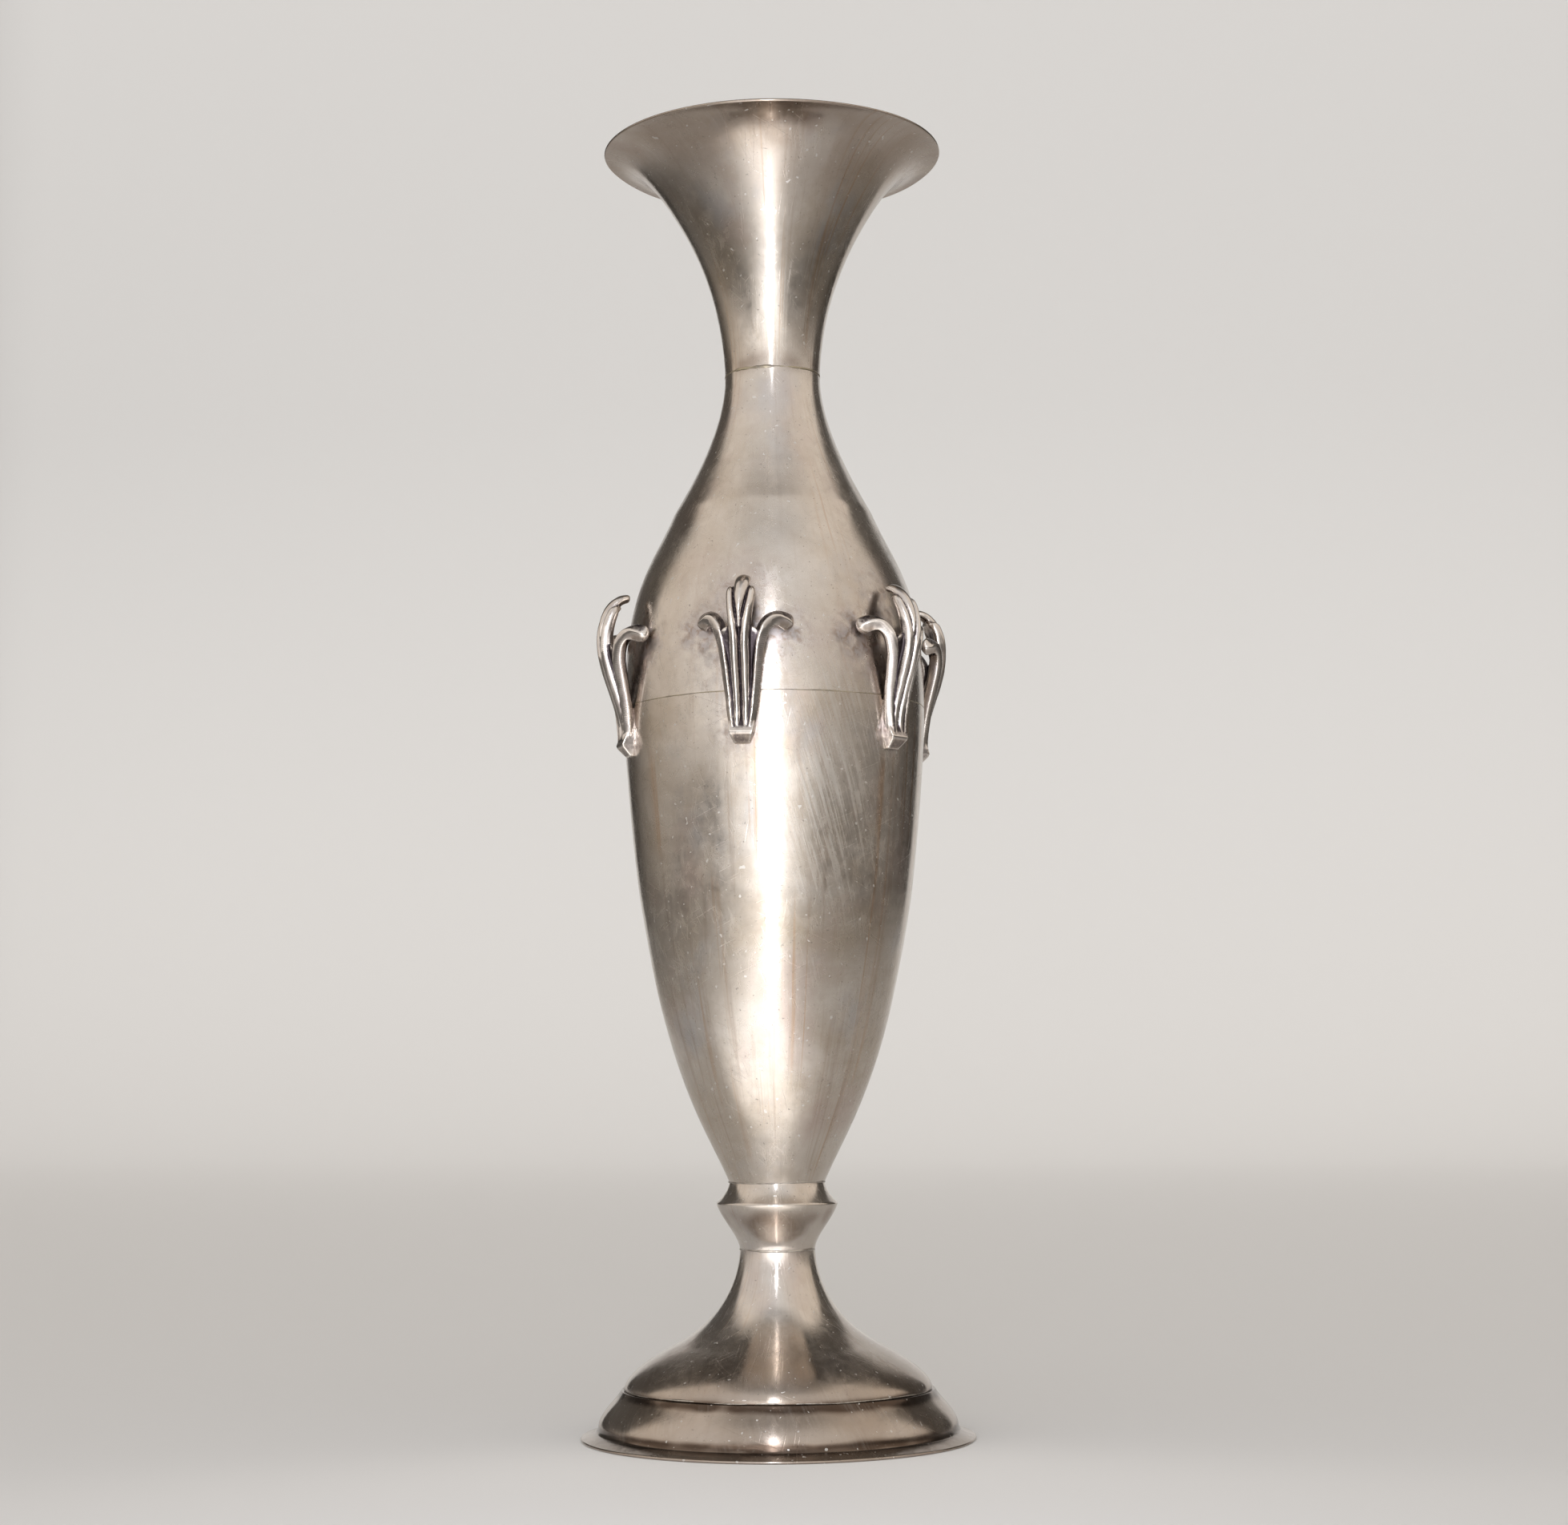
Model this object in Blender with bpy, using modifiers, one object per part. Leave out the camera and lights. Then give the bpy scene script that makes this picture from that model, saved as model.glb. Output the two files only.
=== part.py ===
"""Amphora vase in silver plate, with a trumpet mouth and six cast leaf brackets.

The vase is built as such vases are made. Sheet is spun into five turned pieces, which are
soldered one on top of the other: a mouth, a shoulder, a belly, a knop and a foot. A stamped
ring under the foot carries them, and six cast brackets stand on the belly and the shoulder.

Metres, +Z up. The origin is on the axis, in the plane that the vase stands on.
"""
import math

import bmesh
import bpy
import numpy as np

MM = 0.001

# Sheet and fit
SHEET = 0.8 * MM
FOOT_SHEET = 0.9 * MM
CLEARANCE = 0.3 * MM
TURN_STEPS = 36

# Heights of the pieces, from the table up
RING_HEIGHT = 13.2 * MM
FOOT_HEIGHT = 36.0 * MM
KNOP_HEIGHT = 17.8 * MM
KNOP_RIDGE_HEIGHT = 12.3 * MM
BELLY_HEIGHT = 127.0 * MM
SHOULDER_HEIGHT = 93.0 * MM
MOUTH_HEIGHT = 63.0 * MM

# Outer radii, from the table up
FLANGE_RADIUS = 52.2 * MM
RING_RADIUS = 47.6 * MM
FOOT_RADIUS = 40.7 * MM
WAIST_RADIUS = 10.0 * MM
KNOP_RADIUS = 16.2 * MM
HEEL_RADIUS = 12.8 * MM
BODY_RADIUS = 40.9 * MM
NECK_RADIUS = 13.05 * MM
MOUTH_RADIUS = 46.95 * MM

# Laps and seats where one turned piece enters the next
NECK_LAP = 6.0 * MM
BODY_LAP = 4.0 * MM
HEEL_DEPTH = 3.0 * MM
WAIST_LAP = 5.0 * MM
RING_SEAT = 5.0 * MM

# Foot ring section
WALL_FOOT_HEIGHT = 3.8 * MM
FLANGE_HEIGHT = 2.0 * MM
FLANGE_EDGE = 0.8 * MM
FLANGE_REST = 4.0 * MM
RING_STEP = 0.9 * MM
RING_SHEET = 1.3 * MM
RING_CORNER = 0.4 * MM
RING_FILLET = 0.9 * MM

# Leaf brackets. Heights are above the seam between belly and shoulder
BRACKET_COUNT = 6
PAD_TOP_HEIGHT = -4.0 * MM
PAD_EDGE_HEIGHT = -9.8 * MM
PAD_TOE_HEIGHT = -14.0 * MM
LEAF_CREST_HEIGHT = 18.5 * MM
LEAF_TIP_HEIGHT = 31.0 * MM
SCROLL_START_HEIGHT = 10.0 * MM
SCROLL_END_HEIGHT = 15.0 * MM
PAD_REACH = 2.9 * MM
LEAF_REACH = 9.3 * MM
LEAF_TIP_REACH = 1.2 * MM
LEAF_THICKNESS = 2.8 * MM
LEAF_TIP_THICKNESS = 1.5 * MM
PAD_WIDTH = 6.8 * MM
PAD_EDGE_WIDTH = 6.2 * MM
PAD_TOE_WIDTH = 4.8 * MM
STEM_WIDTH = 4.4 * MM
BLADE_WIDTH = 7.6 * MM
RIDGE_DEPTH = 0.9 * MM
SCROLL_WIDTH = 2.7 * MM
SCROLL_DEPTH = 3.0 * MM
SCROLL_REACH = 6.5 * MM
SCROLL_START_SIDE = 4.2 * MM
SCROLL_SPREAD = 12.0 * MM

# Levels where the turned pieces meet
RING_TOP = RING_HEIGHT
WAIST_LEVEL = RING_TOP + FOOT_HEIGHT
HEEL_LEVEL = WAIST_LEVEL + KNOP_HEIGHT
SEAM_LEVEL = HEEL_LEVEL + BELLY_HEIGHT
NECK_LEVEL = SEAM_LEVEL + SHOULDER_HEIGHT
RIM_LEVEL = NECK_LEVEL + MOUTH_HEIGHT
HALF_GAP = CLEARANCE / 2


def clear_scene():
    """Remove every object that the file opened with."""
    for obj in list(bpy.data.objects):
        bpy.data.objects.remove(obj, do_unlink=True)


def new_collection(name):
    """Make a collection under the scene's own."""
    collection = bpy.data.collections.new(name)
    bpy.context.scene.collection.children.link(collection)
    return collection


def plated_metal(name, colour, roughness):
    """Make a Principled material for one piece."""
    material = bpy.data.materials.new(name)
    material.use_nodes = True
    shader = material.node_tree.nodes["Principled BSDF"]
    shader.inputs["Base Color"].default_value = (*colour, 1.0)
    shader.inputs["Roughness"].default_value = roughness
    shader.inputs["Metallic"].default_value = 1.0
    return material


def curve(start, lead, follow, end, count):
    """Points along a cubic curve that leaves start towards lead and reaches end from follow."""
    t = np.linspace(0.0, 1.0, count)[:, None]
    corners = [np.array(corner, dtype=float) for corner in (start, lead, follow, end)]
    return ((1 - t) ** 3 * corners[0] + 3 * (1 - t) ** 2 * t * corners[1]
            + 3 * (1 - t) * t ** 2 * corners[2] + t ** 3 * corners[3])


def chain(*runs):
    """Join runs of points end to end, keeping one of the points where two runs meet."""
    points = []
    for run in runs:
        for point in run:
            point = np.array(point, dtype=float)
            if not points or np.linalg.norm(point - points[-1]) > 0.01 * MM:
                points.append(point)
    return np.array(points)


def inside(profile, wall):
    """Move a profile that runs down the outer side inwards, square to itself, by one wall."""
    along = np.gradient(profile, axis=0)
    along /= np.linalg.norm(along, axis=1)[:, None]
    outward = np.stack([-along[:, 1], along[:, 0]], axis=1)
    return profile - outward * wall


def shell_inside(profile, wall):
    """Inner side of a shell whose two ends are cut level."""
    inner = inside(profile, wall)
    inner[0, 1] = profile[0, 1]
    inner[-1, 1] = profile[-1, 1]
    return inner


def radius_at(profile, level):
    """Radius of a profile that runs down from its top, at one level."""
    return float(np.interp(-level, -profile[:, 1], profile[:, 0]))


def rounded_edge(above, below, bulge):
    """Three points round a sheet's edge, from the point above it to the point below it."""
    middle = (np.array(above) + np.array(below)) / 2
    return [above, middle + np.array(bulge), below]


def turned(name, profile, closed, collection, material):
    """Turn a profile round the axis with a Screw modifier, and keep the turned mesh."""
    guide = bpy.data.meshes.new(name + "_profile")
    count = len(profile)
    edges = [(i, i + 1) for i in range(count - 1)]
    if closed:
        edges.append((count - 1, 0))
    guide.from_pydata([(r, 0.0, z) for r, z in profile], edges, [])
    obj = bpy.data.objects.new(name, guide)
    collection.objects.link(obj)
    screw = obj.modifiers.new("turn", "SCREW")
    screw.axis = "Z"
    screw.angle = math.tau
    screw.steps = TURN_STEPS
    screw.render_steps = TURN_STEPS
    screw.use_merge_vertices = True
    screw.merge_threshold = 0.00001
    keep_evaluated(obj, name)
    obj.data.materials.append(material)
    return obj


def keep_evaluated(obj, name):
    """Replace an object's mesh and modifiers by the mesh that they make, shaded smooth."""
    depsgraph = bpy.context.evaluated_depsgraph_get()
    mesh = bpy.data.meshes.new_from_object(obj.evaluated_get(depsgraph))
    obj.modifiers.clear()
    obj.data = mesh
    mesh.name = name
    mesh.shade_smooth()
    mesh.set_sharp_from_angle(angle=math.radians(35))


def in_box(shares, low, high):
    """Points given as shares of a box: from low to high, each a radius and a level."""
    low = np.array(low)
    return low + np.array(shares) * (np.array(high) - low)


def mouth_outline():
    """Underside of the trumpet, from its rim down to the neck joint."""
    neck = (NECK_RADIUS, NECK_LEVEL + HALF_GAP)
    rim = (MOUTH_RADIUS - SHEET / 2, RIM_LEVEL - SHEET)
    lip = in_box([(1.0, 1.0), (0.815, 1.0), (0.626, 0.931), (0.33, 0.651)], neck, rim)
    flue = in_box([(0.33, 0.651), (0.035, 0.371), (0.0, 0.078), (0.0, 0.0)], neck, rim)
    return chain(curve(*lip, 6), curve(*flue, 5))


def shoulder_outline():
    """Outer side of the shoulder, from the neck joint down to the seam above the belly."""
    seam_side = (NECK_RADIUS, SEAM_LEVEL + HALF_GAP)
    neck_side = (BODY_RADIUS, NECK_LEVEL - HALF_GAP)
    upper = in_box([(0.0, 1.0), (0.0, 0.826), (0.473, 0.602), (0.511, 0.576)], seam_side, neck_side)
    lower = in_box([(0.511, 0.576), (0.744, 0.413), (1.0, 0.363), (1.0, 0.0)], seam_side, neck_side)
    return chain(curve(*upper, 5), curve(*lower, 6))


def belly_outline():
    """Outer side of the belly, from the seam down to its heel on the knop."""
    heel = (HEEL_RADIUS, HEEL_LEVEL + HALF_GAP)
    seam = (BODY_RADIUS, SEAM_LEVEL - HALF_GAP)
    upper = in_box([(1.0, 1.0), (1.0, 0.872), (0.856, 0.606), (0.845, 0.591)], heel, seam)
    lower = in_box([(0.845, 0.591), (0.566, 0.201), (0.231, 0.12), (0.0, 0.0)], heel, seam)
    return chain(curve(*upper, 4), curve(*lower, 7))


def knop_outline():
    """Outer side of the knop, from its mouth under the belly down to the waist."""
    ridge = WAIST_LEVEL + KNOP_RIDGE_HEIGHT
    cove = in_box([(0.0, 1.0), (0.06, 0.62), (0.6, 0.25), (1.0, 0.0)],
                  (HEEL_RADIUS, ridge), (KNOP_RADIUS, HEEL_LEVEL - HALF_GAP))
    sweep = in_box([(1.0, 1.0), (0.89, 0.7), (0.0, 0.287), (0.0, 0.0)],
                   (WAIST_RADIUS, WAIST_LEVEL + HALF_GAP), (KNOP_RADIUS, ridge))
    return chain(curve(*cove, 4), curve(*sweep, 5))


def foot_outline():
    """Outer side of the foot, from the waist down to its brim on the foot ring."""
    brim_side = (WAIST_RADIUS, RING_TOP + CLEARANCE)
    waist_side = (FOOT_RADIUS, WAIST_LEVEL - HALF_GAP)
    stem = in_box([(0.0, 1.0), (0.0, 0.916), (0.046, 0.538), (0.568, 0.307)], brim_side, waist_side)
    dome = in_box([(0.568, 0.307), (0.897, 0.161), (1.0, 0.06), (1.0, 0.0)], brim_side, waist_side)
    return chain(curve(*stem, 7), curve(*dome, 5))


def make_mouth(collection, material):
    """Trumpet mouth, with a sleeve below it that enters the neck of the shoulder."""
    outer = mouth_outline()
    inner = inside(outer, SHEET)[:-1][::-1]
    sleeve = NECK_RADIUS - SHEET - CLEARANCE
    bottom = NECK_LEVEL - NECK_LAP
    ledge = NECK_LEVEL + HALF_GAP
    lap = [(sleeve, ledge), (sleeve, bottom),
           (sleeve - SHEET, bottom), (sleeve - SHEET, ledge + SHEET)]
    rim = rounded_edge(inner[-1], outer[0], (0.3 * MM, 0.0))
    turned("mouth_trumpet", chain(outer, lap, inner, rim[1:2]), True, collection, material)


def make_shoulder(collection, material):
    """Shoulder shell, open at the neck and at the seam."""
    outer = shoulder_outline()
    loop = chain(outer, shell_inside(outer, SHEET)[::-1])
    turned("shoulder_shell", loop, True, collection, material)


def make_belly(collection, material):
    """Belly cup: a joggled lap inside the shoulder, and a closed heel inside the knop."""
    outer = belly_outline()
    inner = inside(outer, SHEET)
    lap_top = SEAM_LEVEL + BODY_LAP
    lap = radius_at(shoulder_outline(), lap_top) - SHEET - CLEARANCE
    heel = HEEL_RADIUS - FOOT_SHEET - CLEARANCE
    sole = HEEL_LEVEL - HEEL_DEPTH
    ledge = HEEL_LEVEL + HALF_GAP
    hollow = [(0.0, sole + SHEET), (heel - SHEET, sole + SHEET), (heel - SHEET, ledge + SHEET)]
    joggle_level = outer[0, 1] - 3 * SHEET
    joggle = [(radius_at(inner, joggle_level), joggle_level), (lap - SHEET, outer[0, 1] - SHEET),
              (lap - SHEET, lap_top), (lap, lap_top), (lap, outer[0, 1])]
    base = [(heel, ledge), (heel, sole), (0.0, sole)]
    profile = chain(hollow, inner[1:-1][::-1], joggle, outer, base)
    turned("belly_cup", profile, False, collection, material)


def make_knop(collection, material):
    """Hollow knop between the belly and the foot."""
    outer = knop_outline()
    loop = chain(outer, shell_inside(outer, FOOT_SHEET)[::-1])
    turned("knop_collar", loop, True, collection, material)


def make_foot(collection, material):
    """Foot shell, with a sleeve at its waist that enters the knop."""
    outer = foot_outline()
    inner = shell_inside(outer, FOOT_SHEET)[1:][::-1]
    sleeve = WAIST_RADIUS - FOOT_SHEET - CLEARANCE
    top = WAIST_LEVEL + WAIST_LAP
    ledge = WAIST_LEVEL - HALF_GAP
    lap = [(sleeve - FOOT_SHEET, ledge - FOOT_SHEET), (sleeve - FOOT_SHEET, top),
           (sleeve, top), (sleeve, ledge)]
    turned("foot_shell", chain(outer, inner, lap), True, collection, material)


def make_ring(collection, material):
    """Stamped foot ring: a seat under the brim, a quarter round, and a sloping flange that rests flat."""
    shoulder = FOOT_RADIUS + RING_STEP
    inner = FOOT_RADIUS - RING_SEAT
    edge = FLANGE_RADIUS - FLANGE_EDGE / 2
    ovolo = in_box([(0.0, 1.0), (0.163, 0.757), (0.91, 0.4), (1.0, 0.0)],
                   (shoulder, WALL_FOOT_HEIGHT), (RING_RADIUS, RING_TOP - RING_CORNER))
    ovolo = curve(*ovolo, 6)
    fillet = in_box([(0.0, 1.0), (0.1, 0.3), (0.45, 0.05), (1.0, 0.0)],
                    (RING_RADIUS, FLANGE_HEIGHT), (RING_RADIUS + RING_FILLET, WALL_FOOT_HEIGHT))
    nose = rounded_edge((edge, FLANGE_EDGE), (edge, 0.0), (FLANGE_EDGE / 2, 0.0))
    seat = [(inner, RING_TOP), (shoulder - RING_CORNER, RING_TOP)]
    rest = [(edge - FLANGE_REST, 0.0)]
    under = inside(ovolo, RING_SHEET)[2:][::-1]
    back = [(inner, RING_TOP - RING_SHEET)]
    turned("foot_ring", chain(seat, ovolo, curve(*fillet, 4), nose, rest, under, back), True,
           collection, material)


def lofted(name, rings, collection):
    """Skin rings of equal count, each a front run and then a back run, and close both ends."""
    mesh = bpy.data.meshes.new(name)
    work = bmesh.new()
    rows = [[work.verts.new(point) for point in ring] for ring in rings]
    count = len(rows[0])
    for low, high in zip(rows, rows[1:]):
        for i in range(count):
            j = (i + 1) % count
            work.faces.new((low[i], low[j], high[j], high[i]))
    for row in (rows[0], rows[-1]):
        for i in range(count // 2 - 1):
            work.faces.new((row[i], row[i + 1], row[count - 2 - i], row[count - 1 - i]))
    bmesh.ops.recalc_face_normals(work, faces=work.faces)
    work.to_mesh(mesh)
    work.free()
    obj = bpy.data.objects.new(name, mesh)
    collection.objects.link(obj)
    return obj


def placed(reach, side, level):
    """A bracket point: reach out from the axis along -Y, side along +X, level along +Z."""
    return np.stack([side, -reach, level], axis=-1)


def leaf_spine(count):
    """Front of the leaf in the plane of its axis: reach from the axis, and level."""
    foot = (BODY_RADIUS + PAD_REACH, SEAM_LEVEL + PAD_EDGE_HEIGHT)
    crest = (BODY_RADIUS + LEAF_REACH, SEAM_LEVEL + LEAF_CREST_HEIGHT)
    tip = (BODY_RADIUS + LEAF_TIP_REACH, SEAM_LEVEL + LEAF_TIP_HEIGHT)
    rise = in_box([(0.0, 0.0), (-0.22, 0.34), (1.0, 0.68), (1.0, 1.0)], foot, crest)
    hook = in_box([(1.0, 0.0), (1.0, 0.54), (0.62, 1.03), (0.0, 1.0)],
                  (tip[0], crest[1]), (crest[0], tip[1]))
    return chain(curve(*rise, count), curve(*hook, count))


def at_share(path, share):
    """Points of a path at shares of its length, and the unit directions there."""
    steps = np.linalg.norm(np.diff(path, axis=0), axis=1)
    length = np.concatenate([[0.0], np.cumsum(steps)])
    where = np.clip(share, 0.0, 1.0) * length[-1]
    point = np.stack([np.interp(where, length, path[:, k]) for k in range(path.shape[1])], axis=-1)
    slope = np.gradient(path, length, axis=0)
    along = np.stack([np.interp(where, length, slope[:, k]) for k in range(path.shape[1])], axis=-1)
    return point, along / np.linalg.norm(along, axis=-1, keepdims=True)


def smooth_step(value):
    """Ease from 0 to 1 as value goes from 0 to 1."""
    value = np.clip(value, 0.0, 1.0)
    return value * value * (3.0 - 2.0 * value)


def leaf_sections():
    """Rings of the stem and its lobed blade.

    Columns cross the leaf from its middle to its edge. On the stem the middle is a groove
    between two ridges. On the blade it becomes the crest of a drop-shaped lobe, the ridges
    become side lobes, and the blade's top edge dips between the three.
    """
    stem_side = np.array([0.0, 0.16, 0.34, 0.58, 0.84, 1.0])
    stem_relief = np.array([1.0, 0.85, 0.25, 0.0, 0.3, 1.0])
    blade_side = np.array([0.0, 0.26, 0.44, 0.62, 0.86, 1.0])
    blade_relief = np.array([-0.55, -0.2, 1.0, 0.15, 0.1, 0.7])
    blade_top = np.array([1.0, 0.98, 0.885, 0.925, 0.93, 0.885])
    spine = leaf_spine(40)
    rings = []
    for share in np.linspace(0.04, 1.0, 11):
        blade = smooth_step((share - 0.56) / 0.22)
        finish = smooth_step((share - 0.62) / 0.38)
        columns = share - finish * (1.0 - blade_top)
        half = (STEM_WIDTH + (BLADE_WIDTH - STEM_WIDTH) * smooth_step(share / 0.75)) / 2
        side = half * (stem_side + blade * (blade_side - stem_side))
        sink = RIDGE_DEPTH * (stem_relief + blade * (blade_relief - stem_relief))
        point, along = at_share(spine, columns)
        outward = np.stack([along[:, 1], -along[:, 0]], axis=1)
        taper = smooth_step((share - 0.5) / 0.5)
        thick = LEAF_THICKNESS + (LEAF_TIP_THICKNESS - LEAF_THICKNESS) * taper
        front = point - outward * (sink[:, None] + 0.5 * RIDGE_DEPTH * blade)
        back = point - outward * (thick + 0.5 * RIDGE_DEPTH * blade)
        narrow = side * 0.9
        right_front = placed(front[:, 0], side, front[:, 1])
        left_front = placed(front[:, 0], -side, front[:, 1])
        right_back = placed(back[:, 0], narrow, back[:, 1])
        left_back = placed(back[:, 0], -narrow, back[:, 1])
        rings.append(np.concatenate([left_front[:0:-1], right_front, right_back[::-1], left_back[1:]]))
    return rings


def scroll_path(hand):
    """Middle of one side scroll: reach, side and level along it.

    It starts buried in the pad, climbs beside the stem, swings out sideways over its crest
    and runs back and down into the body.
    """
    middle = SCROLL_DEPTH / 2
    root_side = PAD_EDGE_WIDTH / 2 - middle
    root = (BODY_RADIUS + PAD_REACH - middle, hand * root_side, SEAM_LEVEL + PAD_EDGE_HEIGHT)
    leave_reach = BODY_RADIUS + SCROLL_REACH - middle
    leave = (leave_reach, hand * SCROLL_START_SIDE, SEAM_LEVEL + SCROLL_START_HEIGHT)
    end = (BODY_RADIUS - SCROLL_DEPTH, hand * SCROLL_SPREAD, SEAM_LEVEL + SCROLL_END_HEIGHT)
    stem = in_box([(0.0, 0.0, 0.0), (-0.25, 0.6, 0.31), (0.45, 0.75, 0.69), (1.0, 1.0, 1.0)], root, leave)
    arch = in_box([(0.0, 0.0, 0.0), (-0.27, 0.08, 1.4), (-0.19, 1.05, 2.65), (1.0, 1.0, 1.0)], leave, end)
    return chain(curve(*stem, 20), curve(*arch, 20))


def scroll_sections(hand):
    """Rings of one side scroll, a bar with a ridged front that turns to face up over the crest."""
    path = scroll_path(hand)
    section = [(-0.48, 0.22), (0.0, 0.5), (0.48, 0.22), (0.5, -0.42), (0.0, -0.5), (-0.5, -0.42)]
    rings = []
    for share in np.concatenate([np.linspace(0.0, 0.42, 4), np.linspace(0.52, 1.0, 10)]):
        point, along = at_share(path, np.array([share]))
        point, along = point[0], along[0]
        turn = smooth_step((share - 0.5) / 0.4)
        outward = np.array([1.0 - 0.5 * turn, 0.3 * hand * turn, turn])
        outward -= along * np.dot(outward, along)
        outward /= np.linalg.norm(outward)
        across = np.cross(along, outward)
        ring = [point + across * (a * SCROLL_WIDTH) + outward * (b * SCROLL_DEPTH)
                for a, b in section]
        ring = np.array(ring)
        rings.append(placed(ring[:, 0], ring[:, 1], ring[:, 2]))
    return rings


def pad_sections():
    """Rings of the foot pad: a tapered block with a sloping end facet."""
    bury = BODY_RADIUS - 2.0 * MM
    stations = [(PAD_TOP_HEIGHT + 1.2 * MM, STEM_WIDTH, 0.9 * MM),
                (PAD_TOP_HEIGHT - 3.2 * MM, PAD_WIDTH, PAD_REACH - 0.2 * MM),
                (PAD_EDGE_HEIGHT, PAD_EDGE_WIDTH, PAD_REACH),
                (PAD_TOE_HEIGHT, PAD_TOE_WIDTH, 0.35 * MM)]
    rings = []
    for height, width, reach in stations:
        front = BODY_RADIUS + reach
        ring = [(front, -width / 2), (front, width / 2), (bury, width / 2), (bury, -width / 2)]
        ring = np.array(ring)
        rings.append(placed(ring[:, 0], ring[:, 1], np.full(4, SEAM_LEVEL + height)))
    return rings


def body_cutter(collection):
    """Solid body shape, larger by one clearance, that trims what a bracket stands on."""
    outer = chain(shoulder_outline(), belly_outline())
    grown = inside(outer, -CLEARANCE)
    profile = chain([(0.0, grown[0][1])], grown, [(0.0, grown[-1][1])])
    return turned("body_cutter", profile, False, collection, plated_metal("cutter", (0.5, 0.5, 0.5), 0.5))


def boolean(obj, other, operation):
    """Add an exact Boolean modifier."""
    cut = obj.modifiers.new(operation.lower(), "BOOLEAN")
    cut.operation = operation
    cut.solver = "EXACT"
    cut.object = other


def make_brackets(collection, cutters, material):
    """Cast leaf brackets: one is joined from its pad, leaf and scrolls, and the rest repeat it."""
    first = lofted("leaf_bracket_1", pad_sections(), collection)
    boolean(first, lofted("leaf", leaf_sections(), cutters), "UNION")
    boolean(first, lofted("scroll_left", scroll_sections(-1), cutters), "UNION")
    boolean(first, lofted("scroll_right", scroll_sections(1), cutters), "UNION")
    boolean(first, body_cutter(cutters), "DIFFERENCE")
    keep_evaluated(first, "leaf_bracket")
    first.data.materials.clear()
    first.data.materials.append(material)
    for number in range(1, BRACKET_COUNT):
        copy = bpy.data.objects.new(f"leaf_bracket_{number + 1}", first.data)
        copy.rotation_euler.z = math.tau * number / BRACKET_COUNT
        collection.objects.link(copy)


def hide_cutters(cutters):
    """Keep the cutters out of the render and show them as wire."""
    for obj in cutters.objects:
        obj.hide_render = True
        obj.display_type = "WIRE"


def main():
    """Build the vase."""
    clear_scene()
    parts = new_collection("amphora_vase")
    cutters = new_collection("cutters")
    make_mouth(parts, plated_metal("mouth_silver", (0.60, 0.56, 0.51), 0.28))
    make_shoulder(parts, plated_metal("shoulder_silver", (0.58, 0.54, 0.49), 0.30))
    make_belly(parts, plated_metal("belly_silver", (0.57, 0.53, 0.48), 0.32))
    make_knop(parts, plated_metal("knop_silver", (0.55, 0.51, 0.46), 0.30))
    make_foot(parts, plated_metal("foot_silver", (0.58, 0.53, 0.47), 0.30))
    make_ring(parts, plated_metal("ring_silver", (0.56, 0.52, 0.46), 0.30))
    make_brackets(parts, cutters, plated_metal("bracket_silver", (0.52, 0.49, 0.45), 0.35))
    hide_cutters(cutters)


main()
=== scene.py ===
# %% [markdown]
# # An amphora vase in silver plate
#
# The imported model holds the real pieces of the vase, at their real size: five spun shells, a stamped
# foot ring and six cast leaf brackets. This script dresses that model. It makes each piece again with a
# fine surface, gives it an aged silver finish, and lights it so that the metal reads as metal.
#
# Everything is in metres, +Z up, with the origin under the vase on the table. An azimuth of 0 degrees
# is the -Y side, and it grows anticlockwise seen from above. One bracket stands at azimuth 0.

import bpy
import numpy as np
from mathutils import Matrix


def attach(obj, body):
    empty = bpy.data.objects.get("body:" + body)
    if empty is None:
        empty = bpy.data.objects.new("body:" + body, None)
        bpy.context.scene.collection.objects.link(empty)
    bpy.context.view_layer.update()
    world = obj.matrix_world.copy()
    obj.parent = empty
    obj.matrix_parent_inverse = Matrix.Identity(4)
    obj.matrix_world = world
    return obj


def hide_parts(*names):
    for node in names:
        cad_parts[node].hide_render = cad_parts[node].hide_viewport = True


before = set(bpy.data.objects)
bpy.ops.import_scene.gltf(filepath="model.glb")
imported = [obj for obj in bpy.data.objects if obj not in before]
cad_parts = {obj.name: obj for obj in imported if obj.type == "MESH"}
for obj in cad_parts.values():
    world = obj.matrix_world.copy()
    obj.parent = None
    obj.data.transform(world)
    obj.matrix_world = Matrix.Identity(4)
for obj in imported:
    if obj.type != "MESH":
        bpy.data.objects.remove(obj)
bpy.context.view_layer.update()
print("nodes:", ", ".join(sorted(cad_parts)))

# %% [markdown]
# ## Sizes
#
# The turned pieces meet at levels that follow from their heights. The radii are those of the outer
# surface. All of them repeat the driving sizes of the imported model, so that the fine surfaces lie
# where the plain solids are.

# %% Sizes of the turned pieces
MM = 0.001

SHEET = 0.8 * MM
FOOT_SHEET = 0.9 * MM
CLEARANCE = 0.3 * MM

RING_TOP = 13.2 * MM
WAIST_LEVEL = RING_TOP + 36.0 * MM
HEEL_LEVEL = WAIST_LEVEL + 17.8 * MM
SEAM_LEVEL = HEEL_LEVEL + 127.0 * MM
NECK_LEVEL = SEAM_LEVEL + 93.0 * MM
RIM_LEVEL = NECK_LEVEL + 63.0 * MM

FLANGE_RADIUS = 52.2 * MM
RING_RADIUS = 47.6 * MM
FOOT_RADIUS = 40.7 * MM
WAIST_RADIUS = 10.0 * MM
KNOP_RADIUS = 16.2 * MM
HEEL_RADIUS = 12.8 * MM
BODY_RADIUS = 40.9 * MM
NECK_RADIUS = 13.05 * MM
MOUTH_RADIUS = 46.95 * MM

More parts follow.
